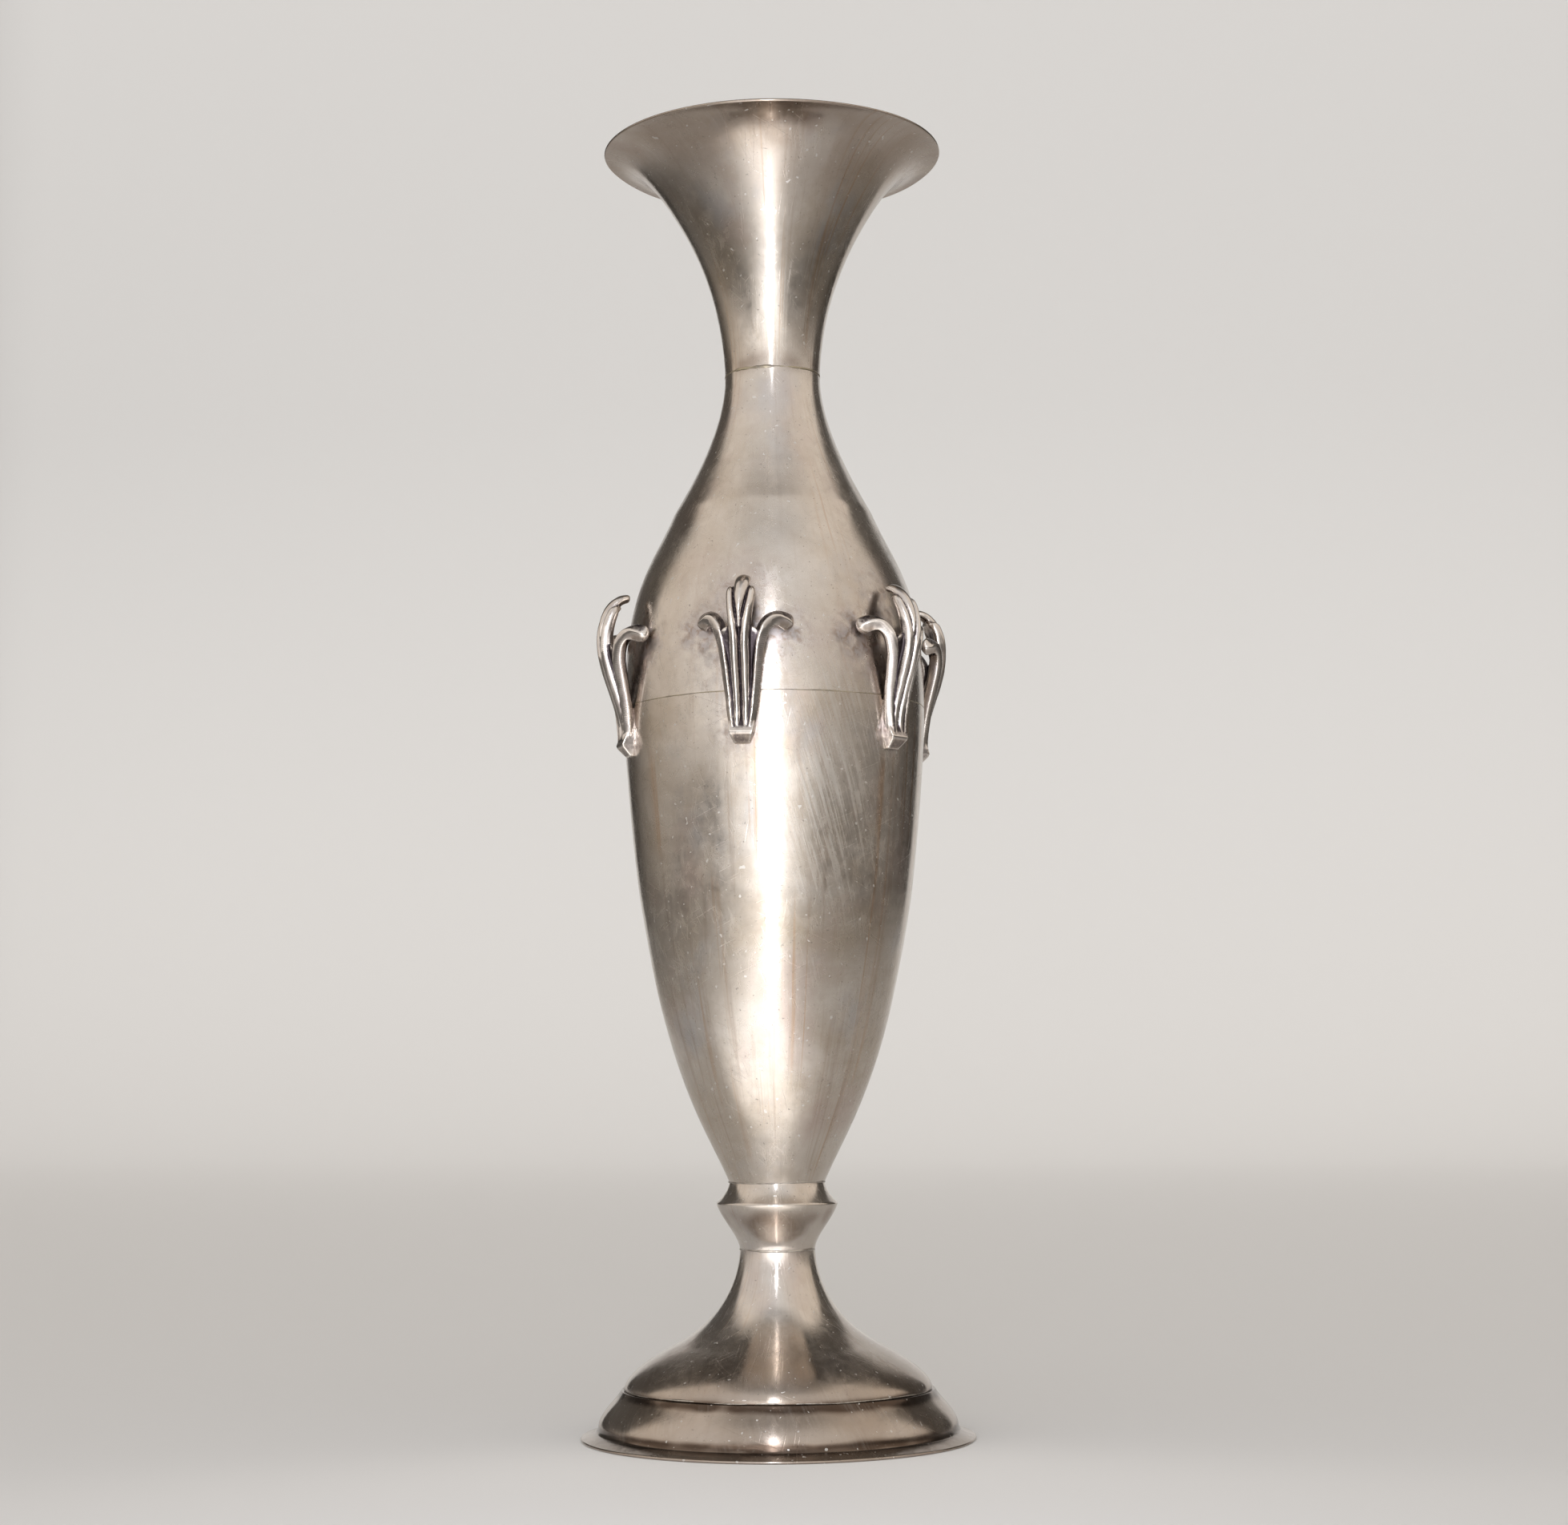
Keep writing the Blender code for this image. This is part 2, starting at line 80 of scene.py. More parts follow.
KNOP_RIDGE = WAIST_LEVEL + 12.3 * MM
NECK_LAP = 6.0 * MM
BODY_LAP = 4.0 * MM
HEEL_DEPTH = 3.0 * MM
WAIST_LAP = 5.0 * MM
RING_SEAT = 5.0 * MM
WALL_FOOT = 3.8 * MM
FLANGE_TOP = 2.0 * MM
FLANGE_EDGE = 0.8 * MM
FLANGE_REST = 4.0 * MM
RING_STEP = 0.9 * MM
RING_SHEET = 1.3 * MM
RING_FILLET = 0.9 * MM

print("levels, mm:", [round(level / MM, 1) for level in
                      (RING_TOP, WAIST_LEVEL, HEEL_LEVEL, SEAM_LEVEL, NECK_LEVEL, RIM_LEVEL)])

# %% [markdown]
# ## Surfaces from grids
#
# Every piece below is a grid of points worked out with numpy: one index goes round the section or the
# axis, the other goes along it. Such a grid could be lofted by hand between drawn rings, but arrays keep
# the formula of each shape in view. One helper turns a grid into vertices and faces and closes its seams
# and poles. Another turns the faces outwards, by the sign of the volume that they enclose.

# %% Grid to mesh
def skin(grid, closed_line=False):
    """Points and faces of a grid[ring, along]. The rings always close; the line closes if asked.
    An end of an open line that has shrunk to one point becomes a pole with a fan of triangles."""
    rings, along = grid.shape[:2]
    index = np.arange(rings * along).reshape(rings, along)
    if not closed_line:
        index[:, 0] = index[0, 0]
        index[:, -1] = index[0, -1]
    ahead = np.roll(index, -1, axis=1) if closed_line else index[:, 1:]
    here = index if closed_line else index[:, :-1]
    quads = np.stack([here, ahead, np.roll(ahead, -1, axis=0), np.roll(here, -1, axis=0)], axis=-1)
    if closed_line:
        return grid.reshape(-1, 3), quads.reshape(-1, 4), np.zeros((0, 3), int)
    first = quads[:, 0][:, [0, 1, 2]]
    last = quads[:, -1][:, [0, 1, 3]]
    quads = quads[:, 1:-1].reshape(-1, 4)
    triangles = np.concatenate([first, last])
    used, where = np.unique(np.concatenate([quads.ravel(), triangles.ravel()]), return_inverse=True)
    quads = where[:quads.size].reshape(-1, 4)
    triangles = where[quads.size:].reshape(-1, 3)
    return grid.reshape(-1, 3)[used], quads, triangles


def volume(points, quads, triangles):
    """Signed volume inside closed faces: a sum of the little pyramids from the origin."""
    fans = np.concatenate([quads[:, [0, 1, 2]], quads[:, [0, 2, 3]], triangles])
    a, b, c = points[fans[:, 0]], points[fans[:, 1]], points[fans[:, 2]]
    return float(np.einsum("ij,ij->i", a, np.cross(b, c)).sum() / 6)


def joined(*skins):
    """Several closed skins as one list of points and faces."""
    starts = np.cumsum([0] + [len(points) for points, _, _ in skins])
    points = np.concatenate([part[0] for part in skins])
    quads = np.concatenate([part[1] + start for part, start in zip(skins, starts)])
    triangles = np.concatenate([part[2] + start for part, start in zip(skins, starts)])
    return points, quads, triangles


def outward(points, quads, triangles):
    """The same skin with its faces pointing out."""
    if volume(points, quads, triangles) < 0:
        return points, quads[:, ::-1], triangles[:, ::-1]
    return points, quads, triangles


def mesh_object(name, points, quads, triangles):
    """A smooth shaded object at the origin, with its place in its mesh."""
    mesh = bpy.data.meshes.new(name)
    mesh.from_pydata(points, [], quads.tolist() + triangles.tolist())
    mesh.shade_smooth()
    obj = bpy.data.objects.new(name, mesh)
    bpy.context.scene.collection.objects.link(obj)
    return obj


def write_attribute(obj, name, values):
    """Store one number for each vertex, for the material to read."""
    layer = obj.data.attributes.new(name, "FLOAT", "POINT")
    layer.data.foreach_set("value", np.asarray(values, np.float32))


def mesh_points(mesh):
    """The vertices of a mesh as rows of three numbers."""
    flat = np.empty(len(mesh.vertices) * 3, np.float32)
    mesh.vertices.foreach_get("co", flat)
    return flat.reshape(-1, 3).astype(float)


# %% [markdown]
# ## Curves
#
# An outline is drawn with a few cubic curves. A curve's four corners are given as shares of a box, so
# that the shape keeps its character when the box changes. Points are then spread along it at one step.
# The last helper, grain, is the randomness of the whole vase: swells, stains and castings all use it.

# %% Curves and steps
def cubic(corners, count=200):
    """Cubic curve: corners weighed by (1-t)^3, 3(1-t)^2 t, 3(1-t)t^2 and t^3 as t goes from 0 to 1."""
    t = np.linspace(0.0, 1.0, count)[:, None]
    weights = [(1 - t) ** 3, 3 * (1 - t) ** 2 * t, 3 * (1 - t) * t ** 2, t ** 3]
    return sum(weight * np.array(corner, float) for weight, corner in zip(weights, corners))


def in_box(shares, low, high):
    """Corners given as shares of the box from low to high, each a radius and a level."""
    return np.array(low) + np.array(shares) * (np.array(high) - np.array(low))


def gone_along(line):
    """Length travelled along a line at each of its points."""
    return np.concatenate([[0.0], np.cumsum(np.linalg.norm(np.diff(line, axis=0), axis=1))])


def spaced(line, step):
    """The same line with its points one step apart."""
    line = np.asarray(line, float)
    gone = gone_along(line)
    at = np.linspace(0.0, gone[-1], max(2, int(np.ceil(gone[-1] / step)) + 1))
    return np.stack([np.interp(at, gone, column) for column in line.T], axis=1)


def chain(*runs):
    """Runs of points end to end, without the points that repeat."""
    line = np.concatenate([np.asarray(run, float) for run in runs])
    apart = np.linalg.norm(np.diff(line, axis=0), axis=1) > 0.02 * MM
    return line[np.concatenate([[True], apart])]


def inside(outline, wall):
    """A line one wall inwards from an outline that runs down the outer side."""
    along = np.gradient(outline, axis=0)
    along /= np.linalg.norm(along, axis=1)[:, None]
    return outline - np.stack([-along[:, 1], along[:, 0]], axis=1) * wall


def smooth_step(value):
    """Ease from 0 to 1 as value goes from 0 to 1: 3v^2 - 2v^3."""
    value = np.clip(value, 0.0, 1.0)
    return value * value * (3.0 - 2.0 * value)


def flowing(at, knots, values):
    """Smooth line through values at knots. Between two knots it is a cubic that keeps, at each of
    them, the slope from the knot before to the knot after."""
    knots, values = np.array(knots, float), np.array(values, float)
    slope = np.gradient(values, knots, axis=0)
    i = np.clip(np.searchsorted(knots, at) - 1, 0, len(knots) - 2)
    wide = knots[i + 1] - knots[i]
    t = np.clip((at - knots[i]) / wide, 0.0, 1.0)
    if values.ndim > 1:
        t, wide = t[:, None], wide[:, None]
    return ((1 + 2 * t) * (1 - t) ** 2 * values[i] + t * (1 - t) ** 2 * wide * slope[i]
            + t ** 2 * (3 - 2 * t) * values[i + 1] - t ** 2 * (1 - t) * wide * slope[i + 1])


def grain(points, size, seed, waves=28):
    """Soft random field, about -1 to 1: a mean of cosines along random directions, whose
    wavelengths lie round one size."""
    random = np.random.default_rng(seed)
    direction = random.normal(size=(3, waves))
    direction /= np.linalg.norm(direction, axis=0)
    rate = 2 * np.pi / (size * random.uniform(0.7, 1.5, waves))
    phase = random.uniform(0, 2 * np.pi, waves)
    return np.cos(points @ direction * rate + phase).sum(axis=-1) / np.sqrt(waves / 2)


# %% [markdown]
# ## Spun shells
#
# A spinner presses a turning disc of sheet over a wooden former, so each shell is a profile turned
# round the axis. A true circle would look machined: the real sheet has a slow swell that bends every
# reflection a little, and faint rings from the spinning tool. Both are a few hundredths of a
# millimetre, so they are added to the radius, as one field that runs through all the shells. That way
# neighbours still meet. The rim has also been knocked, so it is bent in and out a little.

# %% Turning a profile
TURNS = 240
PROFILE_STEP = 0.9 * MM
AXIS_CALM = 8 * MM
SWELL = 0.055 * MM
SWELL_SIZE = 42 * MM
SPIN_RINGS = 0.004 * MM
SPIN_PITCH = 4.6 * MM
CALM_BELOW = 14 * MM
CALM_FADE = 8 * MM
RIM_BENDS = [(-101, 24, -1.3), (124, 24, -1.1), (192, 40, -0.6), (60, 30, 1.1)]
BENDS_FROM = 300 * MM


def swell(points):
    """How far the sheet stands out from a true circle at each point: a slow random field plus fine
    rings, both fading out towards the stamped ring, which is true."""
    slow = SWELL * grain(points, SWELL_SIZE, 3)
    beat = 1 + 0.35 * grain(points * [0, 0, 1], 30 * MM, 4)
    rings = SPIN_RINGS * np.sin(2 * np.pi * points[..., 2] / SPIN_PITCH) * beat
    return (slow + rings) * smooth_step((points[..., 2] - CALM_BELOW) / CALM_FADE)


def rim_bend(azimuth, level):
    """Knocks at the rim: at each listed azimuth the radius changes by an amount in mm, over a width in
    degrees, as exp(-(turn / width)^2), and this grows from nothing at 300 mm up to the rim."""
    total = 0.0
    for where, width, amount in RIM_BENDS:
        turn = np.degrees(np.angle(np.exp(1j * (azimuth - np.radians(where)))))
        total = total + amount * MM * np.exp(-(turn / width) ** 2)
    return total * smooth_step((level - BENDS_FROM) / (RIM_LEVEL - BENDS_FROM)) ** 1.5


def turned(profile):
    """Grid of a profile carried round the axis: x = r sin a, y = -r cos a, z = level, where a is the
    azimuth and r the profile's radius plus the swell and the bends there. Near the axis the swell dies
    out, so that a flat bottom stays closed."""
    azimuth = np.linspace(0.0, 2 * np.pi, TURNS, endpoint=False)[:, None]
    facing = np.stack([np.sin(azimuth), -np.cos(azimuth), 0 * azimuth], axis=-1)
    upright = np.array([0.0, 0.0, 1.0])
    grid = facing * profile[None, :, :1] + upright * profile[None, :, 1:]
    share = smooth_step(profile[:, 0] / AXIS_CALM)
    out = swell(grid) * share + rim_bend(azimuth, profile[None, :, 1])
    return grid + facing * out[..., None]


def edge_round(start, end, bulge):
    """Half an ellipse from one side of a sheet's edge to the other, standing out by bulge."""
    t = np.linspace(0.0, np.pi, 12)[:, None]
    middle, half = (np.array(start) + np.array(end)) / 2, (np.array(start) - np.array(end)) / 2
    return middle + half * np.cos(t) + np.array(bulge) * np.sin(t)


print(f"turned pieces: {TURNS} steps round, swell {SWELL / MM:.3f} mm, rings {SPIN_RINGS / MM:.3f} mm")

# %% [markdown]
# ## Outlines of the shells
#
# The trumpet opens slowly from the neck and then turns over to its rim. The shoulder swells from the
# neck in one S and comes down upright at the seam. The belly carries on from it and draws in to a
# narrow heel. The knop is a cove with a sharp ridge, and the foot runs out from the waist to a dome.

# %% Outer outlines, each from its top down
def mouth_outline():
    """Underside of the trumpet, from its rim down to the neck."""
    neck, rim = (NECK_RADIUS, NECK_LEVEL), (MOUTH_RADIUS - SHEET / 2, RIM_LEVEL - SHEET - 0.03 * MM)
    lip = in_box([(1.0, 1.0), (0.815, 1.0), (0.626, 0.931), (0.33, 0.651)], neck, rim)
    flue = in_box([(0.33, 0.651), (0.035, 0.371), (0.0, 0.078), (0.0, 0.0)], neck, rim)
    return spaced(chain(cubic(lip), cubic(flue)), PROFILE_STEP)


def shoulder_outline():
    """From the neck down to the seam above the belly."""
    low, high = (NECK_RADIUS, SEAM_LEVEL), (BODY_RADIUS, NECK_LEVEL)
    upper = in_box([(0.0, 1.0), (0.0, 0.826), (0.473, 0.602), (0.511, 0.576)], low, high)
    lower = in_box([(0.511, 0.576), (0.744, 0.413), (1.0, 0.363), (1.0, 0.0)], low, high)
    return spaced(chain(cubic(upper), cubic(lower)), PROFILE_STEP)


def belly_outline():
    """From the seam down to the heel on the knop."""
    low, high = (HEEL_RADIUS, HEEL_LEVEL), (BODY_RADIUS, SEAM_LEVEL)
    upper = in_box([(1.0, 1.0), (1.0, 0.872), (0.856, 0.606), (0.845, 0.591)], low, high)
    lower = in_box([(0.845, 0.591), (0.566, 0.201), (0.231, 0.12), (0.0, 0.0)], low, high)
    return spaced(chain(cubic(upper), cubic(lower)), PROFILE_STEP)


def knop_outline():
    """From the mouth of the knop, over its ridge, down to the waist."""
    cove = in_box([(0.0, 1.0), (0.06, 0.62), (0.6, 0.25), (1.0, 0.0)],
                  (HEEL_RADIUS, KNOP_RIDGE), (KNOP_RADIUS, HEEL_LEVEL))
    sweep = in_box([(1.0, 1.0), (0.89, 0.7), (0.0, 0.287), (0.0, 0.0)],
                   (WAIST_RADIUS, WAIST_LEVEL), (KNOP_RADIUS, KNOP_RIDGE))
    return spaced(chain(cubic(cove), cubic(sweep)), 0.4 * MM)


def foot_outline():
    """From the waist down to the brim on the foot ring."""
    low, high = (WAIST_RADIUS, RING_TOP), (FOOT_RADIUS, WAIST_LEVEL)
    stem = in_box([(0.0, 1.0), (0.0, 0.916), (0.046, 0.538), (0.568, 0.307)], low, high)
    dome = in_box([(0.568, 0.307), (0.897, 0.161), (1.0, 0.06), (1.0, 0.0)], low, high)
    return spaced(chain(cubic(stem), cubic(dome)), 0.7 * MM)


for outline in (mouth_outline, shoulder_outline, belly_outline, knop_outline, foot_outline):
    print(f"{outline.__name__}: {gone_along(outline())[-1] / MM:.1f} mm long")

# %% [markdown]
# ## From an outline to sheet
#
# Sheet has two sides, so each outline gets an inner line one wall away and becomes a closed profile. The
# shells also reach into each other: a sleeve or a lap stands behind every joint, a hair narrower than
# the hole it enters, so that solder can hold it. The belly's profile is open at the axis, where its
# bottom closes. Solidify could give the wall, but then the sleeves would need pieces of their own.

# %% Closed profiles of the shells
def radius_at(outline, level):
    """Radius of an outline that runs down from its top, at one level."""
    return float(np.interp(-level, -outline[:, 1], outline[:, 0]))


def level_ends(inner, outer):
    """The inner line with both its ends at the levels of the outer line's ends."""
    inner = inner.copy()
    inner[[0, -1], 1] = outer[[0, -1], 1]
    return inner


def mouth_profile():
    """Trumpet with a rounded rim, and the sleeve that enters the shoulder's neck."""
    outer = mouth_outline()
    inner = inside(outer, SHEET)[::-1]
    sleeve = NECK_RADIUS - SHEET - CLEARANCE
    bottom = NECK_LEVEL - NECK_LAP
    lap = [(sleeve, NECK_LEVEL), (sleeve, bottom), (sleeve - SHEET, bottom),
           (sleeve - SHEET, NECK_LEVEL + SHEET)]
    rim = edge_round(inner[-1], outer[0], (0.4 * MM, 0.0))
    return chain(outer, spaced(lap, PROFILE_STEP), inner[1:], rim)


def shoulder_profile():
    """Shoulder, open above and below."""
    outer = shoulder_outline()
    return chain(outer, level_ends(inside(outer, SHEET), outer)[::-1])


def belly_profile():
    """Belly, from the middle of its bottom inside, up the inner side, over the lap that enters the
    shoulder, and down the outer side to the sole inside the knop."""
    outer = belly_outline()
    inner = inside(outer, SHEET)
    lap_top = SEAM_LEVEL + BODY_LAP
    lap = radius_at(shoulder_outline(), lap_top) - SHEET - CLEARANCE
    heel = HEEL_RADIUS - FOOT_SHEET - CLEARANCE
    sole = HEEL_LEVEL - HEEL_DEPTH
    bottom = [(0.0, sole + SHEET), (heel - SHEET, sole + SHEET), (heel - SHEET, HEEL_LEVEL + SHEET)]
    joggle = [(lap - SHEET, SEAM_LEVEL - SHEET), (lap - SHEET, lap_top), (lap, lap_top),
              (lap, SEAM_LEVEL)]
    base = [(heel, HEEL_LEVEL), (heel, sole), (0.0, sole)]
    return chain(spaced(bottom, PROFILE_STEP), inner[1:-3][::-1], spaced(joggle, PROFILE_STEP),
                 outer, spaced(base, PROFILE_STEP))


def knop_profile():
    """Hollow knop."""
    outer = knop_outline()
    return chain(outer, level_ends(inside(outer, FOOT_SHEET), outer)[::-1])


def foot_profile():
    """Foot, with the sleeve that enters the knop."""
    outer = foot_outline()
    inner = level_ends(inside(outer, FOOT_SHEET), outer)[1:][::-1]
    sleeve = WAIST_RADIUS - FOOT_SHEET - CLEARANCE
    top = WAIST_LEVEL + WAIST_LAP
    lap = [(sleeve - FOOT_SHEET, WAIST_LEVEL - FOOT_SHEET), (sleeve - FOOT_SHEET, top),
           (sleeve, top), (sleeve, WAIST_LEVEL)]
    return chain(outer, inner, spaced(lap, PROFILE_STEP))


def ring_profile():
    """Foot ring: the seat under the brim, a rounded step, a quarter round, a fillet and a sloping
    flange with a thin round edge."""
    shoulder = FOOT_RADIUS + RING_STEP
    corner = 0.4 * MM
    inner = FOOT_RADIUS - RING_SEAT
    edge = FLANGE_RADIUS - FLANGE_EDGE / 2
    seat = [(inner, RING_TOP), (FOOT_RADIUS - 0.4 * MM, RING_TOP)]
    step = cubic([(FOOT_RADIUS - 0.4 * MM, RING_TOP), (FOOT_RADIUS, RING_TOP - 0.7 * MM),
                  (shoulder - corner / 2, RING_TOP), (shoulder, RING_TOP - corner)], 12)
    ovolo = spaced(cubic(in_box([(0.0, 1.0), (0.163, 0.757), (0.91, 0.4), (1.0, 0.0)],
                                (shoulder, WALL_FOOT), (RING_RADIUS, RING_TOP - corner))), 0.35 * MM)
    fillet = cubic(in_box([(0.0, 1.0), (0.1, 0.3), (0.45, 0.05), (1.0, 0.0)],
                          (RING_RADIUS, FLANGE_TOP), (RING_RADIUS + RING_FILLET, WALL_FOOT)), 14)
    slope = spaced([fillet[-1], (edge, FLANGE_EDGE)], 0.5 * MM)
    nose = edge_round((edge, FLANGE_EDGE), (edge, 0.0), (FLANGE_EDGE / 2, 0.0))
    rest = [(edge, 0.0), (edge - FLANGE_REST, 0.0)]
    under = inside(ovolo, RING_SHEET)[2:][::-1]
    back = [under[-1], (inner, RING_TOP - RING_SHEET), (inner, RING_TOP)]
    return chain(seat, step, ovolo, fillet, slope, nose, spaced(rest, PROFILE_STEP), under,
                 spaced(back, PROFILE_STEP))[:-1]


for profile in (mouth_profile, shoulder_profile, belly_profile, knop_profile, foot_profile, ring_profile):
    print(f"{profile.__name__}: {len(profile())} points")

# %% [markdown]
# ## Where the brackets stand
#
# The brackets stand on the belly and on the shoulder, 60 degrees apart. Flux and heat have stained the
# sheet round every soldered spot, and behind the stems painted shade darkens it, so the shells need to
# know how far each of their points lies from those spots. Bracket places are written as side, reach
# and level: sideways along the wall, out from the axis, and up.

# %% Bracket places
BRACKET_COUNT = 6
PAD_SPOT = (0.0, 41.0 * MM, 184.0 * MM)
SCROLL_SPOT = (11.6 * MM, 38.4 * MM, 209.8 * MM)
STEM_SHADE_SPOT = (0.0, 40.2 * MM, 205.0 * MM)
LEAF_SHADE_SPOT = (0.0, 38.5 * MM, 220.0 * MM)


def bracket_angle(number):
    """Azimuth of a bracket, counted from 0."""
    return 2 * np.pi * number / BRACKET_COUNT


def placed(points, angle):
    """From side, reach and level to x, y and z: the reach turns to the azimuth, the side across it."""
    side, reach, level = points[..., 0], points[..., 1], points[..., 2]
    x = side * np.cos(angle) + reach * np.sin(angle)
    y = side * np.sin(angle) - reach * np.cos(angle)
    return np.stack([x, y, level], axis=-1)


def nearness(points, spot, size):
    """Sum, over all the brackets, of exp(-(distance to the spot / size)^2)."""
    near = 0.0
    for number in range(BRACKET_COUNT):
        centre = placed(np.array(spot), bracket_angle(number))
        near = near + np.exp(-(np.linalg.norm(points - centre, axis=1) / size) ** 2)
    return near


def solder_stain_and_shade(points):
    """How much a shell is stained and shaded: solder stain, strong where scrolls and pads are soldered,
    painted shade, weaker, behind the stems, and both broken up by two random fields."""
    left = (-SCROLL_SPOT[0], SCROLL_SPOT[1], SCROLL_SPOT[2])
    joints = (1.2 * nearness(points, SCROLL_SPOT, 4.6 * MM) + 1.2 * nearness(points, left, 4.6 * MM)
              + 0.9 * nearness(points, PAD_SPOT, 5.5 * MM))
    # Painted shade behind the stems and the leaves, between the brackets and the wall.
    behind = 0.75 * nearness(points, STEM_SHADE_SPOT, 11 * MM) + 0.45 * nearness(points, LEAF_SHADE_SPOT, 8 * MM)
    patchy = 0.80 + 0.40 * grain(points, 5 * MM, 11) + 0.30 * grain(points, 2.2 * MM, 14)
    return np.clip((joints + behind) * patchy, 0.0, 1.0)


print("brackets stand at", [round(np.degrees(bracket_angle(number))) for number in range(BRACKET_COUNT)])

# %% [markdown]
# ## Where tarnish and painted shade gather
#
# Silver darkens where no cloth reaches, and painted shade darkens the same places further: under the
# rim, above the neck joint, below the knop's ridge and low on the foot. The two crevices of the foot
# ring are darkest, with painted shade. Water has also left a few brown runs. All this could be painted
# by hand, but it follows from height and distance to the axis, so each kind is worked out as one number
# for each vertex, which the material reads later.

# %% Gathered tarnish and painted shade
RUST_STREAKS = [(54, 3.0, 290, 330, 1.0), (57, 2.2, 66, 182, 0.8), (64, 2.0, 90, 184, 0.7),
                (-14, 2.0, 70, 150, 0.8), (-41, 2.4, 150, 184, 0.7), (128, 2.2, 80, 180, 0.7),
                (201, 2.5, 70, 160, 0.7)]


def band(points, level, width):
    """exp(-((height - level) / width)^2): 1 on a ring round the vase, fading above and below it."""
    return np.exp(-((points[:, 2] - level) / width) ** 2)


def tarnish_and_shade(points):
    """How much brown tarnish and painted shade lies on the sheet. From 0 to 1 it is broad, partly tarnish
    and partly painted shade: under the rim, low on the foot, above the neck joint and below the knop's
    ridge. Painted shade in the crevices under the brim and at the foot of the ring's wall comes on top,
    up to 1.6. Random fields break it all up."""
    height, radius = points[:, 2], np.linalg.norm(points[:, :2], axis=1)
    under_rim = smooth_step((radius - 17 * MM) / (22 * MM)) * smooth_step((height - 300 * MM) / (20 * MM))
    low = 0.9 * smooth_step((34 * MM - height) / (16 * MM)) + 0.5 * smooth_step((3 * MM - height) / MM)
    clouds = 0.90 + 0.18 * grain(points, 17 * MM, 13)
    # Tarnish and painted shade in bands above the neck joint and below the knop's ridge.
    corners = (0.8 * band(points, NECK_LEVEL + 1.8 * MM, 2.4 * MM)
               + 0.9 * band(points, KNOP_RIDGE - 4.0 * MM, 2.8 * MM))
    corners = corners * (0.8 + 0.35 * grain(points, 6 * MM, 15))
    # Painted shade: near black in the crevice under the brim and at the foot of the ring's wall.
    crevices = 0.9 * (band(points, RING_TOP - 0.9 * MM, 1.2 * MM)
                      + band(points, WALL_FOOT - 0.6 * MM, 1.1 * MM))
    broad = np.clip((1.05 * under_rim + low) * clouds + corners, 0.0, 1.0)
    return np.clip(broad + crevices * (1 + 0.15 * grain(points, 6 * MM, 16)), 0.0, 1.6)


def rusty(points):
    """Narrow upright streaks: each has an azimuth and a half width in degrees, a low and a high level in
    millimetres and a strength, and fades out at both ends."""
    azimuth = np.degrees(np.arctan2(points[:, 0], -points[:, 1]))
    level = points[:, 2] / MM
    total = 0.0
    for where, width, low, high, strength in RUST_STREAKS:
        ends = smooth_step((level - low) / 8) * smooth_step((high - level) / 8)
        total = total + strength * ends * np.exp(-((azimuth - where) / width) ** 2)
    return np.clip(total, 0.0, 1.0)


print("rust streaks:", len(RUST_STREAKS))

# %% [markdown]
# ## A rubbed patch
#
# On one side of the belly somebody has rubbed hard at the tarnish. The patch is a soft oval, given by
# its azimuth and level, and the material draws slanting strokes there.

# %% Rubbed patch
RUB_AZIMUTH = np.radians(36)
RUB_LEVEL = 172 * MM
RUB_HALF_TURN = np.radians(17)
RUB_HALF_HEIGHT = 27 * MM


def rubbed(points):
    """1 in the middle of the rubbed oval, 0 outside it: 1.25 exp(-across^2 - up^2), with a rough edge."""
    azimuth = np.arctan2(points[:, 0], -points[:, 1])
    away = np.angle(np.exp(1j * (azimuth - RUB_AZIMUTH))) / RUB_HALF_TURN
    high = (points[:, 2] - RUB_LEVEL) / RUB_HALF_HEIGHT
    return np.clip(1.25 * np.exp(-away ** 2 - high ** 2) + 0.12 * grain(points, 12 * MM, 12), 0.0, 1.0)


print(f"rubbed patch: {2 * RUB_HALF_HEIGHT / MM:.0f} mm high, "
      f"{2 * RUB_HALF_TURN * BODY_RADIUS / MM:.0f} mm wide")

# %% [markdown]
# ## Making the shells
#
# Now each profile is turned. The piece carries its four fields of stain, wear and painted shade as
# vertex values. It also carries a map in metres, wrapped round the wall, because scratches and runs
# follow the sheet, not the room. Edges sharper than 50 degrees stay crisp, such as the knop's ridge.

# %% Make the shells
WRAP_RADIUS = 30 * MM
CRISP_ANGLE = np.radians(50)


def wrap_map(obj):
    """Give a turned piece a map in metres: round the wall, and down it. Round is the azimuth times a
    middle radius, taken corner by corner so that it doesn't jump back inside a face."""
    points = mesh_points(obj.data)
    loops = len(obj.data.loops)
    vertex, face_first = np.empty(loops, np.int32), np.empty(len(obj.data.polygons), np.int32)
    obj.data.loops.foreach_get("vertex_index", vertex)
    obj.data.polygons.foreach_get("loop_start", face_first)
    azimuth = np.arctan2(points[:, 0], -points[:, 1])[vertex]
    sizes = np.diff(np.append(face_first, loops))
    first = np.repeat(azimuth[face_first], sizes)
    azimuth = first + np.angle(np.exp(1j * (azimuth - first)))
    layer = obj.data.uv_layers.new(name="wrap")
    flat = np.stack([azimuth * WRAP_RADIUS, points[vertex, 2]], axis=1)
    layer.data.foreach_set("uv", flat.astype(np.float32).ravel())


